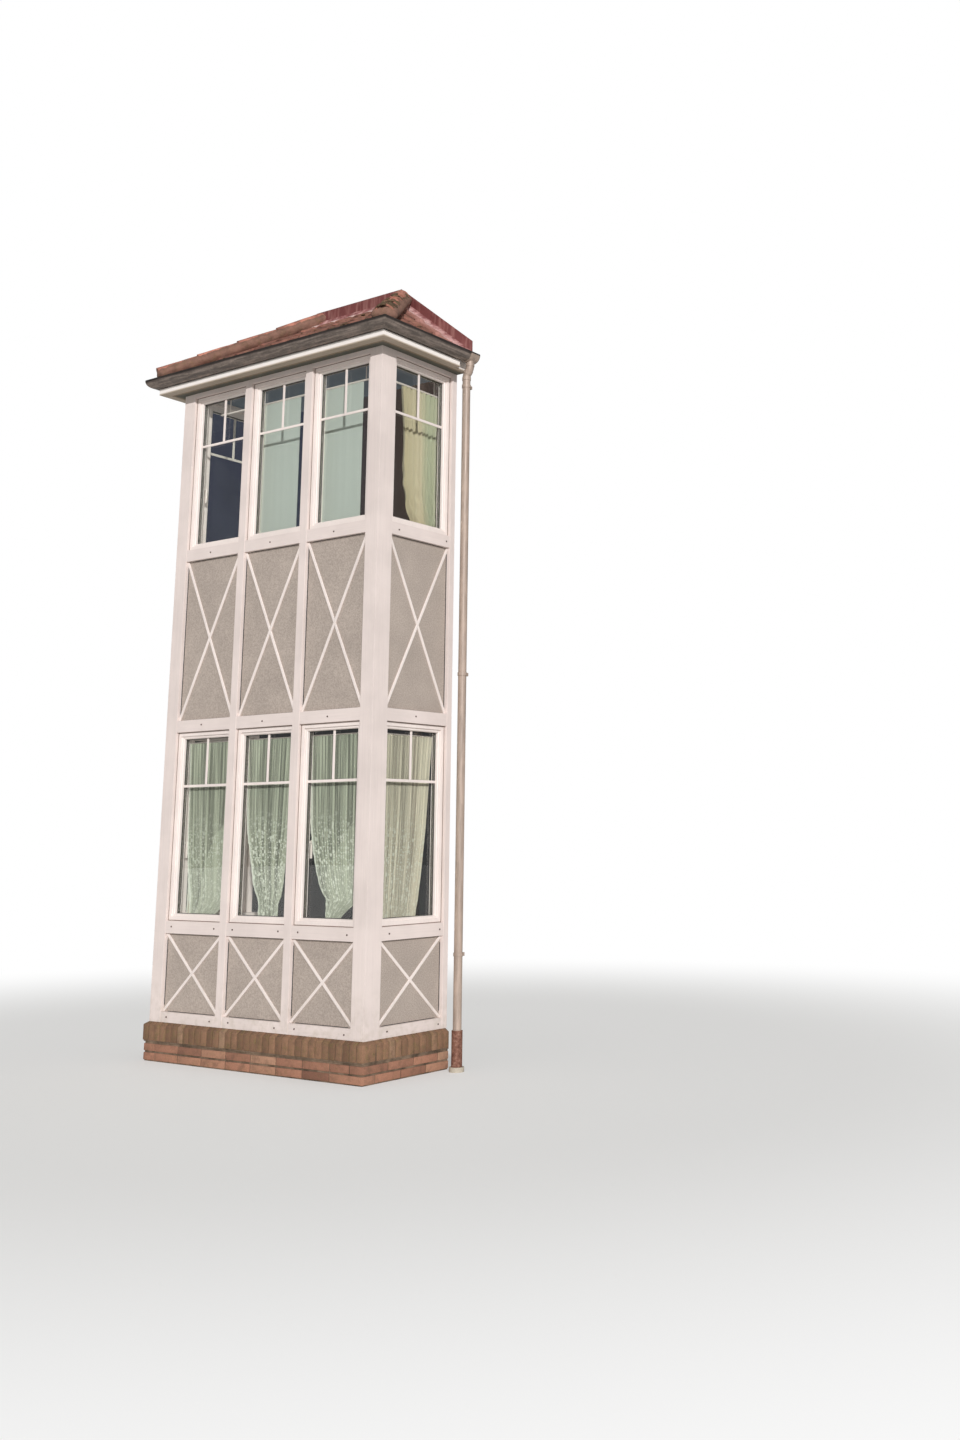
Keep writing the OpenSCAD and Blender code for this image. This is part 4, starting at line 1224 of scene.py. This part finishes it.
def eaves_strip():
    """A drip board on the foot of the fascia, right below the gutters, mitred at the corners."""
    low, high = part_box("fascia")
    proud = 44 * MM
    z0, z1 = low.z + 1 * MM, low.z + 48 * MM
    x, y = high.x, low.y
    pipe_clear = -0.14
    runs = [((-x - proud, y - proud, z0), (x + proud, y - 0.1 * MM, z1), ((1, 1), (-1, 1))),
            ((x + 0.1 * MM, y - proud, z0), (x + proud, pipe_clear, z1), ((-1, -1),)),
            ((-x - proud, y - proud, z0), (-x - 0.1 * MM, -2 * MM, z1), ((1, -1),))]
    bm = bmesh.new()
    for a, b, mitres in runs:
        one = bmesh.new()
        block(one, a, b)
        side = 1 if (a[0] + b[0]) > 0 else -1
        trim(one, [((nx * x if ny > 0 else side * x, y, 0), (nx, ny, 0)) for nx, ny in mitres])
        soften(one, one.edges[:], 1.5 * MM)
        add_to(bm, one)
    finish_piece("eaves_strip", bm, eaves_paint, smooth=FLAT_ABOVE)


def roof_and_eaves():
    tiled_roof()
    hip_bedding()
    hip_caps()
    moss_tufts()
    flashing()
    dress("roof_boards", raw_boards())
    eased("soffit", soffit_painted_shade(), 1 * MM)
    eased("fascia", eaves_paint, 1.5 * MM)
    eaves_strip()
    for node in ("gutter_front", "gutter_left", "gutter_right"):
        dress(node, gutter_sheet)
    for node in ("gutter_outlet", "swan_neck", "downpipe", "pipe_brackets"):
        dress(node, zinc_pipe)
    dress("standpipe", rusty_iron)
    dress("drain_collar", collar_concrete)


# Cloth

CLOTH_ROWS = 72


def follow(table, v):
    """The value at v on a line through points (v, value), v rising."""
    last = table[0]
    for point in table[1:]:
        if v <= point[0]:
            t = (v - last[0]) / (point[0] - last[0])
            return last[1] + (point[1] - last[1]) * t
        last = point
    return last[1]


def ripple(u, v, height, folds, lace, seed):
    """How far a cloth stands out of its plane, in shares of its depth."""
    wander = noise.noise(Vector((u * 2.5 + seed, v * 1.1, 0))) * 1.1
    pleat = math.sin(2 * math.pi * (folds * u + wander))
    pleat *= 0.65 + 0.35 * noise.noise(Vector((u * 9, v * 2, seed)))
    crumple = noise.noise(Vector((u * 9 + 3 * v, v * 14, seed))) * max(0.0, 0.5 - v) * 2.4
    frill = lace * math.sin(v * height / 0.011) * max(0.0, 1 - u / 0.06) * 0.35
    return (0.8 * pleat + crumple + frill) / 1.25


def hang(name, bay, deep, node, left, right, folds, depth, material, overlap=None, lace=0.0):
    """Hangs a cloth inside a window, as high as its node. left and right are its edges, as
    (share of height, across) points from the foot up. Past the overlap line a second layer
    lies over the first."""
    foot, high = (corner.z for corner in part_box(node))
    height = high - foot
    bm = bmesh.new()
    uv_map = bm.loops.layers.uv.new("UVMap")
    laps = bm.verts.layers.float.new("lap")
    laces = bm.verts.layers.float.new("lace")
    hems = bm.verts.layers.float.new("hem")
    bmesh.ops.create_grid(bm, x_segments=folds * 8, y_segments=CLOTH_ROWS, size=0.5)
    seed = rng.uniform(0, 50)
    spots = {}
    lines = {}
    for vert in bm.verts:
        u, v = vert.co.x + 0.5, vert.co.y + 0.5
        spots[vert] = (u, v)
        lines.setdefault(round(v * CLOTH_ROWS), []).append((u, vert))
        start, end = follow(left, v), follow(right, v)
        wobble = noise.noise(Vector((v * 9, seed, 1))) * 3 * MM * (1 - v)
        across = start + (end - start) * u + wobble * (1 - u)
        vert[laps] = 1.0 if overlap and u > follow(overlap, v) else 0.0
        vert[laces] = lace * min(1.0, max(0.0, (0.62 - v) / 0.2))
        vert[hems] = 1.0 if u < 0.035 or v < 0.012 else 0.0
        out = depth * ripple(u, v, height, folds, lace, seed) - vert[laps] * 1.5 * MM
        vert.co = bay.at(across, deep + out, foot + height * v)
    flat_w = 0.0
    for line in lines.values():
        line.sort(key=lambda item: item[0])
        flat_w = max(flat_w, sum((b[1].co - a[1].co).length for a, b in zip(line, line[1:])))
    for face in bm.faces:
        for loop in face.loops:
            u, v = spots[loop.vert]
            loop[uv_map].uv = (u * flat_w, v * height)
    area = sum(f.calc_area() for f in bm.faces)
    piece = finish_piece(name, bm, material, [node], smooth=180)


def hang_nets():
    """Net curtains behind the lower windows, gathered towards their feet."""
    deep, depth, folds = 111 * MM, 8 * MM, 21
    cloth = thin_cloth("net_cloth", srgb(168, 171, 153), 1.0, 0.1, 0.2)
    beige = thin_cloth("net_cloth_beige", srgb(199, 190, 171), 0.8, 0.1, 0.2)
    behind_frame = LOWER_FRONT[0].width - 40 * MM
    nets = [
        ("net_left", 0.6,
         [(0, 0.129), (0.09, 0.129), (0.31, 0.085), (0.5, 0.066), (1, 0.032)],
         [(0, 0.39), (0.03, 0.43), (0.06, 0.48), (0.09, 0.52), (0.12, behind_frame), (1, behind_frame)],
         [(0, 0.2), (0.29, 0.4), (0.46, 0.62), (0.56, 0.95), (0.6, 2), (1, 2)]),
        ("net_middle", 1.0,
         [(0, 0.214), (0.1, 0.201), (0.18, 0.148), (0.27, 0.119), (0.5, 0.056), (1, 0.014)],
         [(0, 0.408), (0.09, 0.41), (0.127, 0.434), (0.18, 0.446), (0.27, 0.457), (0.5, 0.5), (1, 0.54)],
         [(0, 0.85), (1, 0.87)]),
        ("net_right", 1.0,
         [(0, 0.221), (0.118, 0.215), (0.136, 0.192), (0.18, 0.148), (0.27, 0.107), (0.36, 0.075),
          (0.5, 0.045), (1, 0.014)],
         [(0, 0.34), (0.03, 0.375), (0.064, 0.43), (0.1, 0.5), (0.13, behind_frame), (1, behind_frame)],
         [(0, 0.05), (0.27, 0.25), (0.5, 0.75), (0.54, 2), (1, 2)]),
    ]
    for bay, (name, lace, left, right, overlap) in zip(LOWER_FRONT, nets):
        hang(name, bay, deep, "lower_nets", left, right, folds, depth, cloth,
             overlap, lace)
    left = [(0, 0.05), (1, 0.044)]
    right = [(0, 0.45), (0.136, 0.48), (0.27, 0.508), (0.5, 0.544), (1, 0.592)]
    overlap = [(0, 0.84), (1, 0.8)]
    for bay in LOWER_BAYS:
        if bay.side != "front":
            hang("net_side_" + bay.side, bay, deep, "lower_nets", left, right, folds, depth, beige,
                 overlap, 0.6)


def hang_blinds():
    """Two flat cloth blinds behind the middle and right upper windows."""
    cloth = thin_cloth("blind_cloth", srgb(194, 201, 194), 0.05, 0.0, 0.1)
    names = ("blind_middle", "blind_right")
    for bay, (low, high), name in zip(UPPER_FRONT[1:], solids_of("upper_blinds"), names):
        left, right = ([(0, x - bay.low.x), (1, x - bay.low.x)] for x in (low.x, high.x))
        deep = (low.y + high.y) / 2 - FRONT_Y
        hang(name, bay, deep, "upper_blinds", left, right, 4, 1 * MM, cloth)


def hang_curtain():
    """One full curtain behind the upper right-hand window, cream turning pale green."""
    low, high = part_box("upper_curtain")
    bay = next(bay for bay in UPPER_BAYS if bay.side == "right")
    deep = HALF_W - (low.x + high.x) / 2
    wall_end = high.y - bay.low.y + 14 * MM
    left = [(0, 0.45), (0.03, 0.437), (0.12, 0.387), (0.21, 0.347), (0.3, 0.312), (0.44, 0.297),
            (0.67, 0.292), (1, 0.262)]
    right = [(0, wall_end), (1, wall_end)]
    hang("curtain_right", bay, deep, "upper_curtain", left, right, 8, 42 * MM, curtain_cloth())


# Stage


def stage():
    bm = bmesh.new()
    bmesh.ops.create_grid(bm, x_segments=1, y_segments=1, size=60)
    add_object("floor", bm, studio_floor())
    shade_board("room_shade", (-1.5, 30 * MM, 0.05), (1.5, 34 * MM, 5.2))
    for side in (-1, 1):
        shade_board("side_shade", (side * 1.36, -1.0, 0.3), (side * 1.364, 30 * MM, 5.1))


def shade_board(name, a, b):
    """A dark board for the unlit room, seen only through the glass."""
    bm = bmesh.new()
    block(bm, a, b)
    board = add_object(name, bm, room_dark)
    board.visible_camera = False
    board.visible_glossy = False
    board.visible_diffuse = False
    board.visible_shadow = False


place_camera()
place_sun()
paint_world()
timber_frame()
glazing("lower_glazing", LOWER_BAYS, "lower_glass")
glazing("upper_glazing", UPPER_BAYS, "upper_glass")
glazing_bars("lower_bars", LOWER_BAYS)
glazing_bars("upper_bars", UPPER_BAYS)
rail_screws()
plinth()
brick_on_edge_sill()
roof_and_eaves()
dress("curtain_rods", paint_trim)
hang_nets()
hang_blinds()
hang_curtain()
window_handles()
panel_gaps()
sealant_beads()
stage()

bpy.context.scene.view_settings.view_transform = "Standard"
